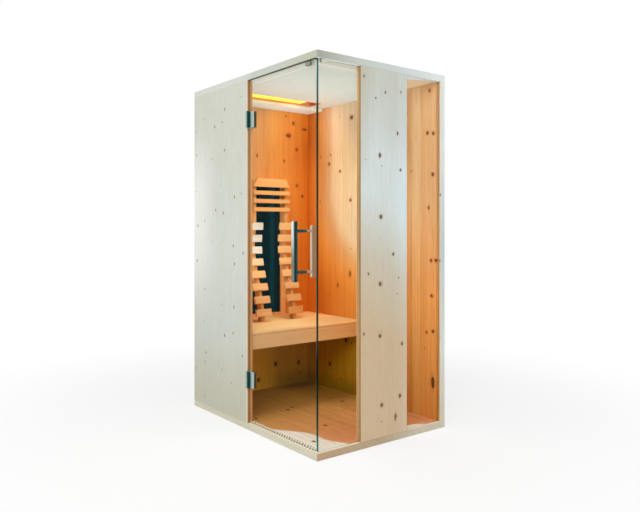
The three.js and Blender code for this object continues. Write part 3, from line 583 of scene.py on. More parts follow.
# %% Side wall and back wall
SIDE_KNOTS = [
    (0.561, 1.925, 0.008, 0.010), (0.543, 1.681, 0.010, 0.011), (0.590, 1.676, 0.010, 0.010),
    (0.586, 1.440, 0.011, 0.011), (0.554, 1.251, 0.007, 0.009), (0.572, 0.945, 0.009, 0.010),
    (0.607, 0.948, 0.010, 0.010), (0.578, 0.743, 0.009, 0.010), (0.537, 0.529, 0.008, 0.009),
    (0.588, 0.541, 0.010, 0.010), (0.586, 0.247, 0.013, 0.034), (-0.131, 1.863, 0.017, 0.014),
    (-0.250, 1.515, 0.011, 0.010), (-0.368, 1.572, 0.012, 0.012), (-0.142, 1.318, 0.010, 0.011),
    (-0.147, 0.830, 0.011, 0.020), (-0.272, 0.747, 0.010, 0.012), (-0.187, 0.386, 0.016, 0.014),
    (-0.360, 0.202, 0.012, 0.014),
]
BACK_KNOTS = [
    (0.330, 1.869, 0.010, 0.012), (0.287, 1.780, 0.021, 0.014), (0.356, 1.687, 0.011, 0.011),
    (0.360, 1.434, 0.010, 0.011), (0.028, 1.623, 0.007, 0.010), (0.408, 1.359, 0.008, 0.011),
    (0.425, 1.835, 0.019, 0.009), (0.250, 1.600, 0.006, 0.008), (0.180, 0.192, 0.012, 0.015),
    (0.376, 0.181, 0.009, 0.015), (0.040, 0.104, 0.012, 0.014),
]

BOARDS_HIGH = tone(237, 185, 132)
BOARDS_LOW = tone(252, 174, 96)
BOARDS_FOOT = tone(224, 146, 66)
LIGHT_BOARD = (1.08, 1.24, 1.36)
SIDE_SHADE = (1.0, 0.94, 0.90)
CORNER_SHADE = (0.66, 0.59, 0.38)
PANEL_GLOW = (1.2, 1.24, 1.18)
SIDE_FOOT = tone(218, 210, 192)
SIDE_LOW = tone(226, 232, 224)
SIDE_MIDDLE = tone(206, 215, 216)
SIDE_HEAD = tone(232, 234, 230)
BY_THE_PANE = tone(186, 142, 96)
FRONT_EDGE = tone(236, 222, 196)
pane_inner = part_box("side_pane")[0].x


def side_wall_paint(finish):
    x, y, z = finish.axes(finish.place())
    rise = finish.times(z, 0.5)
    # Painted light on the front boards: amber low, paler high, darker at the foot.
    boards = finish.ramp(rise, (0.05, BOARDS_FOOT), (0.36, BOARDS_LOW), (0.64, BOARDS_HIGH))
    boards = finish.mix(within(finish, x, 0.425, 0.488), boards, LIGHT_BOARD, "MULTIPLY")
    # Painted light near the ceiling.
    boards = finish.mix(finish.times(finish.span(z, 1.6, 1.93), 0.3), boards, HIGH_UP, "MULTIPLY")
    # Painted shade deeper in and in the upper far corner, and painted light low down by the centre panel.
    lit_pine = finish.mix(finish.span(x, 0.0, -0.35), pine_with_painted_light(finish), SIDE_SHADE, "MULTIPLY")
    corner = finish.times(finish.span(x, -0.42, -0.54), finish.span(z, 1.5, 1.8))
    lit_pine = finish.mix(corner, lit_pine, CORNER_SHADE, "MULTIPLY")
    near_panel = finish.times(finish.span(x, -0.32, -0.12), finish.span(z, 1.15, 0.85))
    lit_pine = finish.mix(near_panel, lit_pine, PANEL_GLOW, "MULTIPLY")
    inner = finish.mix(finish.span(x, 0.1, 0.3), lit_pine, boards)
    inner = finish.mix(finish.math("GREATER_THAN", x, walls_high.x - 0.018), inner, BY_THE_PANE)
    inner = finish.mix(finish.span(x, walls_high.x - 0.012, walls_high.x - 0.004), inner, FRONT_EDGE)
    # Outside tones by height, with painted shade at the foot.
    outer = finish.ramp(rise, (0.05, SIDE_FOOT), (0.22, SIDE_LOW), (0.5, SIDE_MIDDLE), (0.8, SIDE_HEAD))
    end = finish.math("GREATER_THAN", x, walls_high.x - OUTER_SKIN)
    return finish.mix(inside_mask(finish), finish.mix(end, PALE_REAR, outer), inner)


def back_wall_paint(finish):
    return finish.mix(inside_mask(finish), PALE_REAR, pine_with_painted_light(finish))


dress(pine("side_wall_pine", "Z", side_wall_paint, SIDE_KNOTS, "Y", 0.2, 0.045, 0.7, wall=True), "side_wall")
dress(pine("back_wall_pine", "Z", back_wall_paint, BACK_KNOTS, "X", 0.15, 0.045, 0.7, wall=True), "back_wall")

# %% [markdown]
# ## Roof, base and floor
# The ceiling is paler than the walls, and the recess that holds the light is painted orange-brown, as shade. Painted
# daylight makes the floor pale in the glass corner and by the side pane, and the boards are brown elsewhere, with a
# curved edge between.

# %% Roof
CEILING_DEEP = tone(216, 220, 214)
CEILING_NEAR = tone(208, 218, 212)
CEILING_TAN = tone(228, 206, 172)
CEILING_SHADE = tone(208, 208, 192)
CEILING_LINE = tone(236, 238, 232)
EAVES = tone(232, 244, 248)
FASCIA_DOOR = tone(198, 203, 193)
FASCIA_TIP = tone(187, 191, 171)
FASCIA_CORNER = tone(172, 174, 163)
FASCIA_NEAR = tone(200, 206, 200)
FASCIA_FAR = tone(211, 220, 220)
FASCIA_END = tone(229, 238, 237)
RECESS = tone(196, 96, 34)
RECESS_REAR = tone(228, 172, 116)

ceiling_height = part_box("hinge_wall")[1].z
valance_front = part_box("light_valance")[1].x


def roof_paint(finish):
    x, y, z = finish.axes(finish.place())
    by_side_pane = finish.times(finish.span(x, 0.2, 0.4), finish.span(y, 0.15, 0.25))
    under = finish.mix(finish.span(x, -0.3, 0.5), CEILING_DEEP, CEILING_NEAR)
    # Painted shade on the ceiling next to the glass, then painted highlight lines near it.
    under = finish.mix(finish.times(finish.span(x, 0.55, 0.575), 0.7), under, CEILING_SHADE)
    light_edge = finish.times(finish.span(x, 0.47, 0.54), finish.span(x, 0.56, 0.548))
    light_edge = finish.math("MAXIMUM", finish.times(light_edge, 0.7), within(finish, y, -0.343, -0.333))
    under = finish.mix(light_edge, under, CEILING_LINE)
    under = finish.mix(by_side_pane, under, CEILING_TAN)
    eaves_from = finish.span(y, 0.1, 0.6, 0.54, 0.65)
    past = finish.times(finish.math("GREATER_THAN", x, eaves_from), finish.math("GREATER_THAN", y, 0.0))
    past = finish.math("MAXIMUM", past, finish.math("GREATER_THAN", x, pane_inner))
    under = finish.mix(past, under, EAVES)
    # The recess is painted orange-brown as shade, lighter towards the back wall.
    recess = finish.mix(finish.math("LESS_THAN", x, valance_front + OUTER_SKIN), RECESS, RECESS_REAR)
    deep = finish.math("GREATER_THAN", z, ceiling_height + OUTER_SKIN)
    deep = finish.times(deep, finish.math("LESS_THAN", x, 0.0))
    reach = finish.math("ADD", y, 0.45)
    # The fascia is painted in shade: darker towards the glass corner and over the door.
    right = finish.ramp(
        reach, (0.05, FASCIA_CORNER), (0.28, FASCIA_NEAR), (0.6, FASCIA_FAR), (0.92, FASCIA_END)
    )
    front = finish.ramp(finish.math("ADD", x, 0.3), (0.22, PALE), (0.38, FASCIA_DOOR), (0.6, FASCIA_DOOR), (0.93, FASCIA_TIP))
    outer = finish.mix(finish.math("LESS_THAN", y, walls_low.y + OUTER_SKIN), PALE, front)
    outer = finish.mix(finish.math("GREATER_THAN", x, walls_high.x - OUTER_SKIN), outer, right)
    return finish.mix(inside_mask(finish), outer, finish.mix(deep, under, recess))


def valance_paint(finish):
    return finish.mix(finish.noise(finish.place(), 3.0), tone(240, 251, 252), tone(232, 245, 246))


dress(pine("roof_pine", "X", roof_paint, share=0.0, contrast=0.1), "roof_panel")
dress(pine("valance_pine", "Y", valance_paint, share=0.0, contrast=0.35), "light_valance")

# %% Base and floor
OLIVE_FLOOR = tone(190, 152, 54)
BROWN_FLOOR = tone(204, 152, 82)
TAN_FLOOR = tone(222, 152, 104)
DAYLIT_FLOOR = tone(242, 238, 226)
FLOOR_KNOTS = [
    (-0.080, -0.087, 0.015, 0.010), (-0.112, -0.037, 0.012, 0.008), (0.298, -0.102, 0.014, 0.009),
    (-0.034, 0.300, 0.014, 0.008), (0.479, -0.317, 0.013, 0.009), (-0.047, -0.334, 0.012, 0.008),
    (-0.145, 0.309, 0.011, 0.008),
]
SLOT_DARK = tone(110, 88, 58)
SLOT_LIP = 0.0003
BASE_CREAM = tone(240, 234, 214)
BASE_FRONT = tone(216, 212, 192)
BASE_CORNER = tone(192, 164, 132)
BASE_RIGHT = tone(194, 174, 146)
BASE_END = tone(214, 205, 186)

floor_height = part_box("floor_panel")[1].z
door_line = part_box("door_glass")[1].y
pane_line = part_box("corner_pane")[0].x


def floor_tones(finish):
    x, y, z = finish.axes(finish.place())
    # A patch of painted daylight in the glass corner and by the side pane, with a curved edge.
    ripple = finish.times(finish.noise(finish.place(), 9.0), 0.03)
    edge = finish.math("ADD", finish.span(x, 0.13, 0.40, -0.395, -0.262), finish.span(x, 0.5, 0.65, 0.0, 0.05))
    depth = finish.math("SUBTRACT", finish.math("SUBTRACT", y, edge), ripple)
    painted_daylight = finish.times(finish.span(depth, 0.012, -0.012), finish.math("GREATER_THAN", x, 0.13))
    by_side_pane = finish.math("SUBTRACT", x, finish.span(y, 0.264, 0.464, 0.58, 0.65))
    by_side_pane = finish.times(finish.span(by_side_pane, -0.004, 0.004), finish.math("GREATER_THAN", y, 0.0))
    painted_daylight = finish.math("MAXIMUM", painted_daylight, by_side_pane)
    brown = finish.mix(finish.span(x, -0.1, 0.6), BROWN_FLOOR, TAN_FLOOR)
    # Painted olive shade under the bench, and painted shade in the far corner.
    brown = finish.mix(finish.span(x, 0.0, -0.35), brown, OLIVE_FLOOR)
    shaded = finish.times(finish.span(x, -0.42, -0.55), finish.span(y, 0.1, 0.3))
    brown = finish.mix(shaded, brown, FOOT_SHADE, "MULTIPLY")
    return finish.mix(painted_daylight, brown, DAYLIT_FLOOR)


def base_paint(finish):
    x, y, z = finish.axes(finish.place())
    in_room = finish.times(finish.math("LESS_THAN", x, pane_line), finish.math("GREATER_THAN", y, door_line))
    right = finish.math("GREATER_THAN", x, walls_high.x - OUTER_SKIN)
    rim = finish.mix(in_room, BASE_CREAM, floor_tones(finish))
    # The slots are painted dark, as shade in them.
    sunk = finish.math("LESS_THAN", z, floor_height - SLOT_LIP)
    rim = finish.mix(finish.times(sunk, finish.math("LESS_THAN", x, pane_line - OUTER_SKIN)), rim, SLOT_DARK)
    end = finish.ramp(finish.span(y, -0.45, 0.5), (0.0, BASE_CORNER), (0.5, BASE_RIGHT), (0.9, BASE_END))
    return finish.mix(inside_mask(finish), finish.mix(right, BASE_FRONT, end), rim)


dress(pine("base_pine", "X", base_paint, share=0.0, contrast=0.3), "base_frame")
dress(
    pine("floor_pine", "X", floor_tones, FLOOR_KNOTS, "Z", share=0.15, size=0.04, contrast=0.8, knots=DARK_KNOTS),
    "floor_panel",
)

# %% [markdown]
# ## Bench, backrest and heater frame
# The bench and the backrest are lime wood, which has next to no knots and a calm grain, so it stays comfortable when
# it is hot. The upper blocks by the hinge wall are painted pale, as sunlight through the door. The hidden battens and
# the frame round the heater are pine like the walls.

# %% Lime wood
SEAT = tone(241, 213, 154)
SEAT_RIGHT = tone(230, 192, 138)
SEAT_REAR = tone(254, 202, 130)
HONEY = tone(214, 162, 106)
WARM_HONEY = tone(212, 150, 86)
SUNNY_HONEY = tone(228, 178, 120)
APRON = tone(234, 190, 136)
APRON_RIGHT = tone(242, 182, 114)
NOSE_JOINT = tone(186, 132, 84)
GRIP_WOOD = tone(226, 210, 182)
GRIP_SHADE = tone(150, 120, 96)
BLOCK_PALE = tone(214, 216, 208)
BLOCK_GREY = tone(196, 190, 176)
FRAME_HONEY = tone(254, 190, 114)


def plain_paint(colour):
    return lambda finish: finish.mix(finish.noise(finish.place(), 2.5), colour, [c * 0.94 for c in colour])


def seat_paint(finish):
    x, y, z = finish.axes(finish.place())
    # Painted shade to the right and painted warm light towards the back wall.
    front = finish.mix(finish.span(y, 0.0, 0.25), SEAT, SEAT_RIGHT)
    return finish.mix(finish.span(x, -0.15, -0.5), front, SEAT_REAR)


def apron_paint(finish):
    x, y, z = finish.axes(finish.place())
    # Painted warmer light towards the right.
    colour = finish.mix(finish.span(y, -0.15, 0.35), APRON, APRON_RIGHT)
    return finish.mix(within(finish, z, 0.5180, 0.5210), colour, NOSE_JOINT)


def block_paint(finish):
    return finish.mix(finish.span(finish.axes(finish.place())[2], 0.58, 0.82), WARM_HONEY, HONEY)


def sunlit_block_paint(finish):
    # The upper blocks by the hinge wall are painted pale, as sunlight.
    x, y, z = finish.axes(finish.place())
    pale = finish.mix(finish.span(y, -0.20, -0.11), BLOCK_PALE, BLOCK_GREY)
    return finish.mix(finish.span(z, 0.86, 1.0), SUNNY_HONEY, pale)


def grip_paint(finish):
    facing = finish.axes(finish.node("ShaderNodeTexCoord").outputs["Normal"])[0]
    return finish.mix(finish.span(facing, 0.3, 0.7), GRIP_WOOD, GRIP_SHADE)


slats = ["backrest_slat_1", "backrest_slat_2", "backrest_slat_3", "backrest_head_slat"]
dress(pine("seat_lime", "Y", seat_paint, share=0.0, contrast=0.3), "bench_board")
dress(pine("slat_lime", "Y", plain_paint(WARM_HONEY), share=0.0, contrast=0.5), *slats)
for side, paint in (("right", block_paint), ("left", sunlit_block_paint)):
    blocks = [f"backrest_{side}_block_{row}" for row in range(1, 9)]
    dress(pine(f"{side}_block_lime", "Y", paint, share=0.0, contrast=0.5), *blocks)
dress(pine("apron_lime", "Y", apron_paint, share=0.0, contrast=0.25), "bench_apron")
dress(
    pine("rail_lime", "Z", plain_paint(WARM_HONEY), share=0.0, contrast=0.5),
    "backrest_left_rail", "backrest_right_rail",
)
dress(pine("grip_lime", "Z", grip_paint, share=0.0, contrast=0.4), "inner_grip")
dress(pine("frame_pine", "Z", plain_paint(FRAME_HONEY), share=0.2, size=0.04), "heater_frame")
dress(
    pine("batten_pine", "Z", pine_with_painted_light, share=0.2, size=0.04),
    "bench_left_batten", "bench_right_batten", "backrest_spacer",
)

# %% [markdown]
# ## Glass
# The door and the two fixed panes are clear glass, and only a polished edge shows a colour, because there the eye
# looks along the pane. That colour is painted reflection and shade: where the door meets the corner pane, the front
# half of its edge is painted lighter than the half behind it. Both are painted cyan at the top and the foot, and brown
# where the warm room would show through. The ground edges above and below are pale. Real refraction would keep the
# lamps' light out of the cabin, so shadow rays pass straight through.

# %% Glass
EDGE_SKIN = 0.0009
BRIGHT_EDGE = [
    (0.04, tone(132, 204, 196)), (0.06, tone(104, 130, 116)), (0.09, tone(80, 96, 76)), (0.20, tone(12, 34, 20)),
    (0.24, tone(14, 36, 22)), (0.28, tone(84, 92, 70)), (0.5, tone(72, 92, 74)), (0.86, tone(84, 70, 40)),
    (0.88, tone(120, 160, 152)), (1.0, tone(132, 204, 208)),
]
DEEP_EDGE = [
    (0.04, tone(0, 50, 46)), (0.09, tone(4, 20, 10)), (0.22, tone(0, 10, 2)), (0.5, tone(14, 24, 14)),
    (0.86, tone(26, 22, 8)), (0.88, tone(10, 40, 38)), (1.0, tone(0, 44, 50)),
]
GROUND_EDGE = tone(226, 220, 200)

glass_low, glass_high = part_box("door_glass")
edge_split = glass_low.y + 0.6 * (glass_high.y - glass_low.y)
pane_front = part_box("corner_pane")[0].y


def pane_glass(name, on_edge):
    """Clear glass. on_edge(finish) gives a (mask, colour) pair for the edge that shows."""
    finish = Finish(name)
    clear = finish.shader(Base_Color=(0.99, 0.995, 0.992), Roughness=0.0, IOR=1.05, Transmission_Weight=1.0)
    mask, colour = on_edge(finish)
    wave = finish.noise(finish.stretched(finish.place(), 1.0, 1.0, 0.4), 12.0)
    cut_edge = finish.shader(
        Base_Color=finish.mix(wave, colour, (0.8, 0.9, 0.9), "MULTIPLY"), Roughness=0.15, Specular_IOR_Level=0.1
    )
    body = finish.node("ShaderNodeMixShader", {0: mask, 1: clear, 2: cut_edge}).outputs[0]
    path = finish.node("ShaderNodeLightPath").outputs
    passing = finish.math("MAXIMUM", path["Is Shadow Ray"], path["Is Diffuse Ray"])
    through = finish.node("ShaderNodeBsdfTransparent", {"Color": (0.97, 0.985, 0.98)}).outputs[0]
    return finish.show(finish.node("ShaderNodeMixShader", {0: passing, 1: body, 2: through}).outputs[0])


def closing_edge(finish):
    x, y, z = finish.axes(finish.place())
    rise = finish.times(z, 0.5)
    behind = finish.math("GREATER_THAN", y, edge_split)
    # Painted reflection and shade: the closing edge is lit in front and shaded behind.
    colour = finish.mix(behind, finish.ramp(rise, *BRIGHT_EDGE), finish.ramp(rise, *DEEP_EDGE))
    side = finish.math("GREATER_THAN", x, glass_high.x - EDGE_SKIN)
    level = within(finish, z, glass_low.z + EDGE_SKIN, glass_high.z - EDGE_SKIN)
    mask = finish.math("MAXIMUM", side, finish.math("SUBTRACT", 1.0, level))
    return mask, finish.mix(side, GROUND_EDGE, colour)


def front_edge(finish):
    x, y, z = finish.axes(finish.place())
    # Painted reflection on the panes' front edges.
    colour = finish.ramp(finish.times(z, 0.5), *DEEP_EDGE)
    return finish.math("LESS_THAN", y, pane_front + EDGE_SKIN), colour


dress(pane_glass("door_pane_glass", closing_edge), "door_glass")
dress(pane_glass("corner_pane_glass", front_edge), "corner_pane", "side_pane")

# %% [markdown]
# ## Metal
# The hinges and the outer grip are polished steel: a smooth metal shows the room rather than its own colour, so the
# fine brush marks in its roughness are what makes it look used. The hinges' plates are satin, painted a light cyan as
# reflection. Their barrels, told apart by the distance from the pin, the plates' edges and the plates behind the glass
# are painted dark as shade and reflection, and the barrels have a painted lighter side. The standoffs are painted
# dark outside the glass and tan inside, as reflection. The grip is painted darker away from the light and towards its
# foot, as shade. The catch and the clip are duller zinc.


# %% Metal
def metal(name, colour, rough_low, rough_high, brush, metallic=1.0, other=None):
    """Brushed metal. other(finish) may give a (mask, colour) pair for a smoother part painted in another colour."""
    finish = Finish(name)
    marks = finish.noise(finish.stretched(finish.place(), *brush), 1.0, 3.0)
    base = finish.mix(marks, colour, [c * 0.9 for c in colour])
    rough = finish.span(marks, 0.3, 0.7, rough_low, rough_high)
    if other:
        mask, second = other(finish)
        base = finish.mix(mask, base, second)
        rough = finish.math("SUBTRACT", rough, finish.times(mask, rough_low - 0.16))
        metallic = finish.span(mask, 0.0, 1.0, metallic, 0.6)
    return finish.show(finish.shader(Base_Color=base, Metallic=metallic, Roughness=rough))


# These colours are painted light, shade and reflection on the steel.
BROWN_STEEL = (0.13, 0.09, 0.045)
BARREL_DARK = (0.008, 0.055, 0.052)
BARREL_LIGHT = (0.32, 0.42, 0.37)
PLATE_END = 0.008
GRIP_DARK = (0.02, 0.085, 0.08)
GRIP_FOOT = (0.19, 0.16, 0.10)


def barrel_part(finish):
    low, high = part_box("upper_hinge_pin")
    pin = ((low.x + high.x) / 2, (low.y + high.y) / 2, 0.0)
    barrel = finish.math("LESS_THAN", finish.distance(finish.place(), pin, (1.0, 1.0, 0.0)), 0.0102)
    facing = finish.axes(finish.node("ShaderNodeTexCoord").outputs["Normal"])[0]
    side = finish.math("GREATER_THAN", finish.math("ABSOLUTE", facing), 0.8)
    # Painted reflection and shade: lighter and darker sides on the barrel and plates' edges, brown plates behind the
    # glass.
    round_steel = finish.mix(finish.span(facing, 0.74, 0.58), BARREL_DARK, BARREL_LIGHT)
    far_end = finish.math("GREATER_THAN", finish.axes(finish.place())[0], high.x + PLATE_END)
    return finish.math("MAXIMUM", barrel, side), finish.mix(far_end, round_steel, BROWN_STEEL)


def inner_part(finish):
    # Painted reflection: the standoffs are tan behind the glass.
    return finish.math("GREATER_THAN", finish.axes(finish.place())[1], door_line), (0.50, 0.33, 0.22)


def shaded_part(finish):
    low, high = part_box("outer_grip")
    x, y, z = finish.axes(finish.place())
    # Painted shade away from the light and towards the grip's foot.
    away = finish.span(x, low.x + 0.70 * (high.x - low.x), low.x + 0.90 * (high.x - low.x))
    sunk = finish.span(z, high.z - 0.03, low.z + 0.10)
    return finish.math("MAXIMUM", away, finish.times(sunk, 0.92)), finish.mix(away, GRIP_FOOT, GRIP_DARK)


hinge_steel = metal("hinge_steel", tone(190, 217, 211), 0.36, 0.48, (900, 900, 25), 0.35, barrel_part)
grip_steel = metal("grip_steel", (0.88, 0.91, 0.88), 0.12, 0.2, (900, 900, 25), other=shaded_part)
standoff_steel = metal("standoff_steel", (0.012, 0.07, 0.06), 0.3, 0.42, (900, 40, 900), 0.4, other=inner_part)
zinc = metal("dull_zinc", tone(146, 149, 130), 0.45, 0.6, (500, 500, 500), 0.3)
aluminium = metal("satin_aluminium", (0.6, 0.61, 0.6), 0.35, 0.5, (700, 700, 60))
brown_steel = metal("brown_steel", BROWN_STEEL, 0.36, 0.48, (900, 900, 25), 0.35)
for side in ("upper", "lower"):
    dress(hinge_steel, *[f"{side}_hinge_{piece}" for piece in ("leaf", "pin", "clamp")])
    dress(brown_steel, f"{side}_hinge_back_plate")
dress(grip_steel, "outer_grip")
dress(standoff_steel, "upper_standoff", "lower_standoff")
dress(zinc, "door_strike")
dress(metal("bright_zinc", tone(172, 174, 160), 0.45, 0.6, (500, 500, 500), 0.2), "pane_clip")
dress(aluminium, "heater_reflector")

# %% [markdown]
# ## Heater and light
# The heater is a black plate, painted with a blue-green sheen and a lighter stripe of reflection. The light's cover
# is amber plastic that glows from the strip of LEDs under it, and it is as bright as it looks, no more.

# %% Heater and light
heater = Finish("black_heater_plate")
x, y, z = heater.axes(heater.place())
# Painted reflection: a blue-green sheen and a lighter upright stripe.
reflected_stripe = heater.times(heater.span(y, 0.108, 0.138), heater.span(y, 0.166, 0.146))
cloud = heater.noise(heater.stretched(heater.place(), 3.0, 40.0, 1.5))
deep = heater.mix(cloud, tone(0, 32, 40), tone(0, 44, 54))
heater.show(
    heater.shader(
        Base_Color=heater.mix(reflected_stripe, deep, tone(0, 64, 84)),
        Roughness=heater.span(cloud, 0.3, 0.7, 0.3, 0.42),
        Specular_IOR_Level=0.05,
    )
)
dress(heater.material, "heater_plate")

amber = Finish("amber_cover")
streak = amber.noise(amber.stretched(amber.place(), 30.0, 4.0, 30.0))
amber.show(
    amber.shader(
        Base_Color=(1.0, 0.7, 0.1),
        Roughness=amber.span(streak, 0.3, 0.7, 0.35, 0.5),
        Emission_Color=amber.mix(streak, tone(255, 190, 24), tone(255, 214, 60)),
        Emission_Strength=0.9,
    )
)
dress(amber.material, "light_cover")

# %% Plastics
def moulded(name, colour):
    finish = Finish(name)
    speck = finish.noise(finish.place(), 900.0)
    wear_and_sheen = finish.noise(finish.place(), 14.0, 3.0)
    return finish.show(
        finish.shader(
            Base_Color=finish.mix(wear_and_sheen, colour, [c * 0.88 for c in colour]),
            Roughness=finish.span(wear_and_sheen, 0.3, 0.7, 0.42, 0.58),
            Normal=finish.bump(speck, 0.0002, 0.4),
        )
    )


grey_plastic = moulded("grey_plastic", tone(196, 198, 196))
dark_plastic = moulded("dark_plastic", tone(58, 60, 62))
dress(grey_plastic, "control_box", "led_strip")
dress(dark_plastic, "supply_gland")
dress(moulded("magnet_cover", tone(214, 212, 200)), "door_magnet")

# %% [markdown]
# ## Seals
# Two strips close the door. One is a dark rubber lip under the roof's front edge, with a block at the corner. The
# other is a dark strip on the door's closing edge, in the gap to the corner pane. Both are one profile pushed along a
# line, so a short function sweeps a list of points.


# %% Seals
def swept(name, profile, ends, make_point, material):
    """A profile of (u, v) points pushed along a line between two ends, closed at both."""
    shape = bmesh.new()
    rings = [[shape.verts.new(make_point(u, v, end)) for u, v in profile] for end in ends]
    count = len(profile)
    for i in range(count):
        j = (i + 1) % count
        shape.faces.new((rings[0][i], rings[0][j], rings[1][j], rings[1][i]))
    shape.faces.new(rings[0])
    shape.faces.new(rings[1])
    bmesh.ops.recalc_face_normals(shape, faces=shape.faces)
    mesh = bpy.data.meshes.new(name)
    shape.to_mesh(mesh)
    shape.free()
    mesh.materials.append(material)
    made = bpy.data.objects.new(name, mesh)
    bpy.context.scene.collection.objects.link(made)
    return made


rubber = moulded("seal_rubber", tone(60, 62, 48))
LIP_FRONT = -0.4205
strike_low, strike_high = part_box("door_strike")
lip = [(0.0, 0.0), (0.009, 0.0), (0.009, -0.003), (0.0062, -0.0062), (0.0035, -0.0062), (0.0, -0.003)]
flat_lip = [(u, max(v, -0.0035)) for u, v in lip]
block = [(0.0, 0.0), (0.0185, 0.0), (0.0185, -0.0064), (0.0175, -0.0074), (0.001, -0.0074), (0.0, -0.0064)]


def along_x(u, v, end):
    return (end, LIP_FRONT + u, ceiling_height + v)


stretches = {
    "top_seal_long": (lip, (glass_low.x, strike_low.x - 0.002)),
    "top_seal_catch": (flat_lip, (strike_low.x - 0.002, strike_high.x + 0.002)),
    "top_seal_short": (lip, (strike_high.x + 0.002, pane_line - 0.002)),
    "top_seal_end": (block, (pane_line - 0.002, glass_high.x + 0.0015)),
}
for name, (profile, ends) in stretches.items():
    seal = swept(name, profile, ends, along_x, rubber)
    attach(seal, "cabin")

dark_strip = moulded("closing_strip", tone(22, 34, 24))
gap_low, gap_high = glass_high.y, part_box("corner_pane")[0].y
strip = [(0.616, gap_low + 0.0002), (0.6215, gap_low + 0.0002), (0.6222, gap_low + 0.0010),
         (0.6212, gap_high - 0.0004), (0.619, gap_high - 0.0004), (0.616, gap_low + 0.001)]


def along_z(u, v, end):
    return (u, v, end)


closing_strip = swept("closing_strip", strip, (glass_low.z + 0.004, strike_low.z - 0.01), along_z, dark_strip)
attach(closing_strip, "door")
print("seals:", *stretches, closing_strip.name)

# %% [markdown]
# ## Sill comb
# Behind the door's foot lies a strip with a row of small teeth. Air that comes in under the door passes between the
# teeth and over the slots in the base. The teeth are all alike and stand in a line, so Geometry Nodes make them: one
# block, lowered towards the door by a rule on its points, and copied along the row.


# %% Comb tree
def comb_tree():
    tree = bpy.data.node_groups.new("sill_comb", "GeometryNodeTree")
    ports = tree.interface
    ports.new_socket("Geometry", in_out="INPUT", socket_type="NodeSocketGeometry")
    ports.new_socket("Count", in_out="INPUT", socket_type="NodeSocketInt")
    for label in ("Tooth Width", "Tooth Length", "Tooth Height", "Pitch"):
        ports.new_socket(label, in_out="INPUT", socket_type="NodeSocketFloat")
    ports.new_socket("Start", in_out="INPUT", socket_type="NodeSocketVector")
    ports.new_socket("Finish", in_out="INPUT", socket_type="NodeSocketMaterial")
    ports.new_socket("Geometry", in_out="OUTPUT", socket_type="NodeSocketGeometry")
    make, join = tree.nodes.new, tree.links.new
    given = make("NodeGroupInput").outputs

    def maths(operation, a, b):
        node = make("ShaderNodeMath")
        node.operation = operation
        for port, value in zip(node.inputs, (a, b)):
            if isinstance(value, float):
                port.default_value = value
            else:
                join(value, port)
        return node.outputs[0]

    size = make("ShaderNodeCombineXYZ")
    for port, label in zip(size.inputs, ("Tooth Width", "Tooth Length", "Tooth Height")):
        join(given[label], port)
    block = make("GeometryNodeMeshCube")
    join(size.outputs[0], block.inputs["Size"])
    split = make("ShaderNodeSeparateXYZ")
    join(make("GeometryNodeInputPosition").outputs[0], split.inputs[0])
    share = maths("SUBTRACT", maths("DIVIDE", split.outputs["Y"], given["Tooth Length"]), 0.5)
    drop = make("ShaderNodeCombineXYZ")
    join(maths("MULTIPLY", maths("MULTIPLY", share, given["Tooth Height"]), 0.95), drop.inputs["Z"])
    wedge = make("GeometryNodeSetPosition")
    join(block.outputs["Mesh"], wedge.inputs["Geometry"])
    join(maths("GREATER_THAN", split.outputs["Z"], 0.0), wedge.inputs["Selection"])
    join(drop.outputs[0], wedge.inputs["Offset"])
    row = make("GeometryNodeMeshLine")
    step = make("ShaderNodeCombineXYZ")
    join(given["Pitch"], step.inputs["X"])
    join(given["Count"], row.inputs["Count"])
    join(given["Start"], row.inputs["Start Location"])
    join(step.outputs[0], row.inputs["Offset"])
    copies = make("GeometryNodeInstanceOnPoints")
    join(row.outputs["Mesh"], copies.inputs["Points"])
    join(wedge.outputs["Geometry"], copies.inputs["Instance"])
    real = make("GeometryNodeRealizeInstances")
    join(copies.outputs["Instances"], real.inputs["Geometry"])
    paint = make("GeometryNodeSetMaterial")
    join(real.outputs["Geometry"], paint.inputs["Geometry"])
    join(given["Finish"], paint.inputs["Material"])
    join(paint.outputs["Geometry"], make("NodeGroupOutput").inputs["Geometry"])
    return tree


def grown(name, start_mesh, tree, values):
    """Runs a tree on a mesh with its inputs set, and keeps the result as a plain piece."""
    seed = bpy.data.objects.new(name + "_seed", start_mesh)
    bpy.context.scene.collection.objects.link(seed)
    tool = seed.modifiers.new(name, "NODES")
    tool.node_group = tree
    for item in tree.interface.items_tree:
        if item.in_out == "INPUT" and item.name in values:
            tool[item.identifier] = values[item.name]
    seen = seed.evaluated_get(bpy.context.evaluated_depsgraph_get())
    plain = bpy.data.meshes.new_from_object(seen)
    bpy.data.objects.remove(seed)
    made = bpy.data.objects.new(name, plain)
    bpy.context.scene.collection.objects.link(made)
    return made


# %% Sill comb
TOOTH_COUNT = 26
TOOTH_PITCH = 0.0225
TOOTH_WIDTH = 0.0088
TOOTH_LENGTH = 0.012
TOOTH_HEIGHT = 0.012
TOOTH_FIRST = 0.030
COMB_FRONT = -0.402
STRIP_HEIGHT = 0.0015


def comb_paint(finish):
    # Faces that slope upwards are painted light and all others dark, as painted light and shade.
    up = finish.axes(finish.node("ShaderNodeTexCoord").outputs["Normal"])[2]
    return finish.mix(within(finish, up, 0.5, 0.9), tone(40, 22, 10), tone(252, 244, 224))


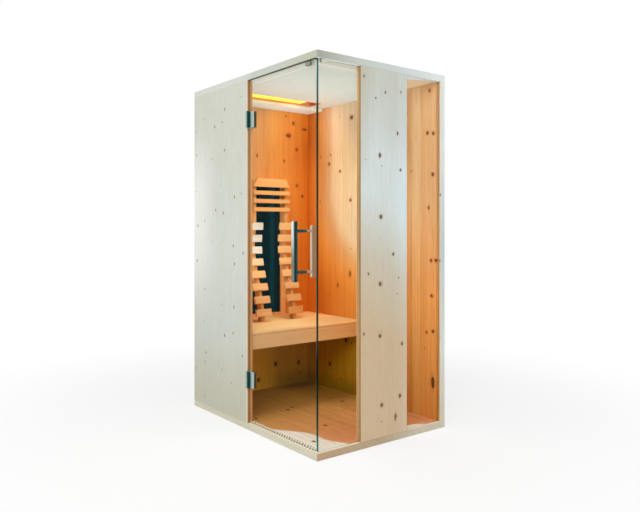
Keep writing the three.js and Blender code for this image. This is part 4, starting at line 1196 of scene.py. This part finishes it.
comb_pine = pine("comb_pine", "Y", comb_paint, share=0.0, contrast=0.3)
comb = grown(
    "sill_comb",
    bpy.data.meshes.new("sill_comb_seed"),
    comb_tree(),
    {
        "Count": TOOTH_COUNT, "Pitch": TOOTH_PITCH, "Tooth Width": TOOTH_WIDTH, "Tooth Length": TOOTH_LENGTH,
        "Tooth Height": TOOTH_HEIGHT, "Finish": comb_pine,
        "Start": (TOOTH_FIRST, COMB_FRONT + TOOTH_LENGTH / 2, floor_height + TOOTH_HEIGHT / 2),
    },
)
strip = [(COMB_FRONT, 0.0), (COMB_FRONT + TOOTH_LENGTH, 0.0), (COMB_FRONT + TOOTH_LENGTH, STRIP_HEIGHT),
         (COMB_FRONT, STRIP_HEIGHT * 0.4)]
strip_ends = (TOOTH_FIRST - TOOTH_WIDTH, TOOTH_FIRST + (TOOTH_COUNT - 1) * TOOTH_PITCH + TOOTH_WIDTH)
comb_strip = swept("comb_strip", strip, strip_ends, lambda u, v, end: (end, u, floor_height + v), comb_pine)
for piece in (comb, comb_strip):
    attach(piece, "cabin")
print("comb teeth:", TOOTH_COUNT, "faces:", len(comb.data.polygons))

# %% [markdown]
# ## Screws
# Screws repeat, so Geometry Nodes make them: a mesh of bare points says where they go and which way they face, and
# the tree puts one head on each point. The head is a flat cone with a cross cut out of it. The tree ends by making
# the copies real, because a file that leaves Blender can't hold instances.


# %% Screw tree
def screw_tree():
    tree = bpy.data.node_groups.new("screw_heads", "GeometryNodeTree")
    ports = tree.interface
    ports.new_socket("Geometry", in_out="INPUT", socket_type="NodeSocketGeometry")
    for label in ("Head Radius", "Head Height", "Cross Width"):
        ports.new_socket(label, in_out="INPUT", socket_type="NodeSocketFloat")
    ports.new_socket("Finish", in_out="INPUT", socket_type="NodeSocketMaterial")
    ports.new_socket("Geometry", in_out="OUTPUT", socket_type="NodeSocketGeometry")
    make, join = tree.nodes.new, tree.links.new
    given = make("NodeGroupInput").outputs

    def scaled(value, factor):
        node = make("ShaderNodeMath")
        node.operation = "MULTIPLY"
        join(value, node.inputs[0])
        node.inputs[1].default_value = factor
        return node.outputs[0]

    def bar(length, width, height):
        size = make("ShaderNodeCombineXYZ")
        for port, value in zip(size.inputs, (length, width, height)):
            join(value, port)
        cube = make("GeometryNodeMeshCube")
        join(size.outputs[0], cube.inputs["Size"])
        raise_up = make("GeometryNodeTransform")
        lift = make("ShaderNodeCombineXYZ")
        join(given["Head Height"], lift.inputs["Z"])
        join(cube.outputs["Mesh"], raise_up.inputs["Geometry"])
        join(lift.outputs[0], raise_up.inputs["Translation"])
        return raise_up.outputs["Geometry"]

    cone = make("GeometryNodeMeshCone")
    cone.inputs["Vertices"].default_value = 16
    join(scaled(given["Head Radius"], 0.72), cone.inputs["Radius Top"])
    join(given["Head Radius"], cone.inputs["Radius Bottom"])
    join(given["Head Height"], cone.inputs["Depth"])
    arm = scaled(given["Head Radius"], 1.05)
    depth = scaled(given["Head Height"], 1.1)
    cut = make("GeometryNodeMeshBoolean")
    cut.operation = "DIFFERENCE"
    join(cone.outputs["Mesh"], cut.inputs["Mesh 1"])
    join(bar(arm, given["Cross Width"], depth), cut.inputs["Mesh 2"])
    join(bar(given["Cross Width"], arm, depth), cut.inputs["Mesh 2"])

    facing = make("GeometryNodeInputNamedAttribute")
    facing.data_type = "FLOAT_VECTOR"
    facing.inputs["Name"].default_value = "facing"
    aim = make("FunctionNodeAlignRotationToVector")
    aim.axis = "Z"
    join(facing.outputs["Attribute"], aim.inputs["Vector"])
    copies = make("GeometryNodeInstanceOnPoints")
    join(given["Geometry"], copies.inputs["Points"])
    join(cut.outputs["Mesh"], copies.inputs["Instance"])
    join(aim.outputs["Rotation"], copies.inputs["Rotation"])
    real = make("GeometryNodeRealizeInstances")
    join(copies.outputs["Instances"], real.inputs["Geometry"])
    paint = make("GeometryNodeSetMaterial")
    join(real.outputs["Geometry"], paint.inputs["Geometry"])
    join(given["Finish"], paint.inputs["Material"])
    join(paint.outputs["Geometry"], make("NodeGroupOutput").inputs["Geometry"])
    return tree


screws = screw_tree()
print("screw tree has", len(screws.nodes), "nodes")


# %% Screws in place
def add_screws(name, body, places, radius, height):
    """places are (point, facing) pairs in metres."""
    mesh = bpy.data.meshes.new(name + "_points")
    mesh.from_pydata([point for point, _ in places], [], [])
    facing = mesh.attributes.new("facing", "FLOAT_VECTOR", "POINT")
    for entry, (_, direction) in zip(facing.data, places):
        entry.vector = direction
    values = {"Head Radius": radius, "Head Height": height, "Cross Width": radius * 0.3, "Finish": screw_steel}
    made = grown(name, mesh, screws, values)
    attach(made, body)
    print(name, len(places), "heads,", len(made.data.polygons), "faces")


UP, DOWN, RIGHT = (0, 0, 1), (0, 0, -1), (1, 0, 0)
INWARDS, OUTWARDS = (0, 1, 0), (0, -1, 0)
SINK = 0.0006

screw_steel = metal("screw_steel", (0.52, 0.53, 0.52), 0.25, 0.4, (600, 600, 600))
door_screws, cabin_screws, small_screws = [], [], []
for side in ("upper", "lower"):
    low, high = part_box(f"{side}_hinge_back_plate")
    middle = (low.z + high.z) / 2
    for rise in (-0.025, 0.025):
        door_screws.append(((low.x + 0.026, high.y - SINK, middle + rise), INWARDS))
low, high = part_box("heater_frame")
for rise in (0.11, 0.46, 0.81):
    for across in (low.y + 0.02, high.y - 0.02):
        cabin_screws.append(((high.x - SINK, across, low.z + rise), RIGHT))
for name, facing, wall in (("bench_left_batten", INWARDS, 1), ("bench_right_batten", OUTWARDS, 0)):
    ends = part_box(name)
    face = ends[wall].y + (SINK if wall == 0 else -SINK)
    for reach in (0.08, 0.27, 0.46):
        cabin_screws.append(((ends[0].x + reach, face, (ends[0].z + ends[1].z) / 2), facing))
low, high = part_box("roof_panel")
for step in range(5):
    x = low.x + 0.09 + step * 0.2775
    for y in (low.y + 0.018, high.y - 0.018):
        cabin_screws.append(((x, y, high.z - SINK), UP))
for step in range(1, 4):
    y = low.y + step * (high.y - low.y) / 4
    for x in (low.x + 0.018, high.x - 0.018):
        cabin_screws.append(((x, y, high.z - SINK), UP))
low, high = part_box("control_box")
for x in (low.x + 0.018, high.x - 0.018):
    for y in (low.y + 0.018, high.y - 0.018):
        small_screws.append(((x, y, high.z - SINK), UP))
low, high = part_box("pane_clip")
small_screws.append(((low.x + 0.003 - SINK, (low.y + high.y) / 2, low.z + 0.007), RIGHT))
low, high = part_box("door_magnet")
for x in (low.x + 0.009, high.x - 0.009):
    small_screws.append(((x, (low.y + high.y) / 2, low.z + SINK), DOWN))
add_screws("hinge_screws", "door", door_screws, 0.0048, 0.0022)
add_screws("panel_screws", "cabin", cabin_screws, 0.0045, 0.0018)
add_screws("small_screws", "cabin", small_screws, 0.0026, 0.0016)
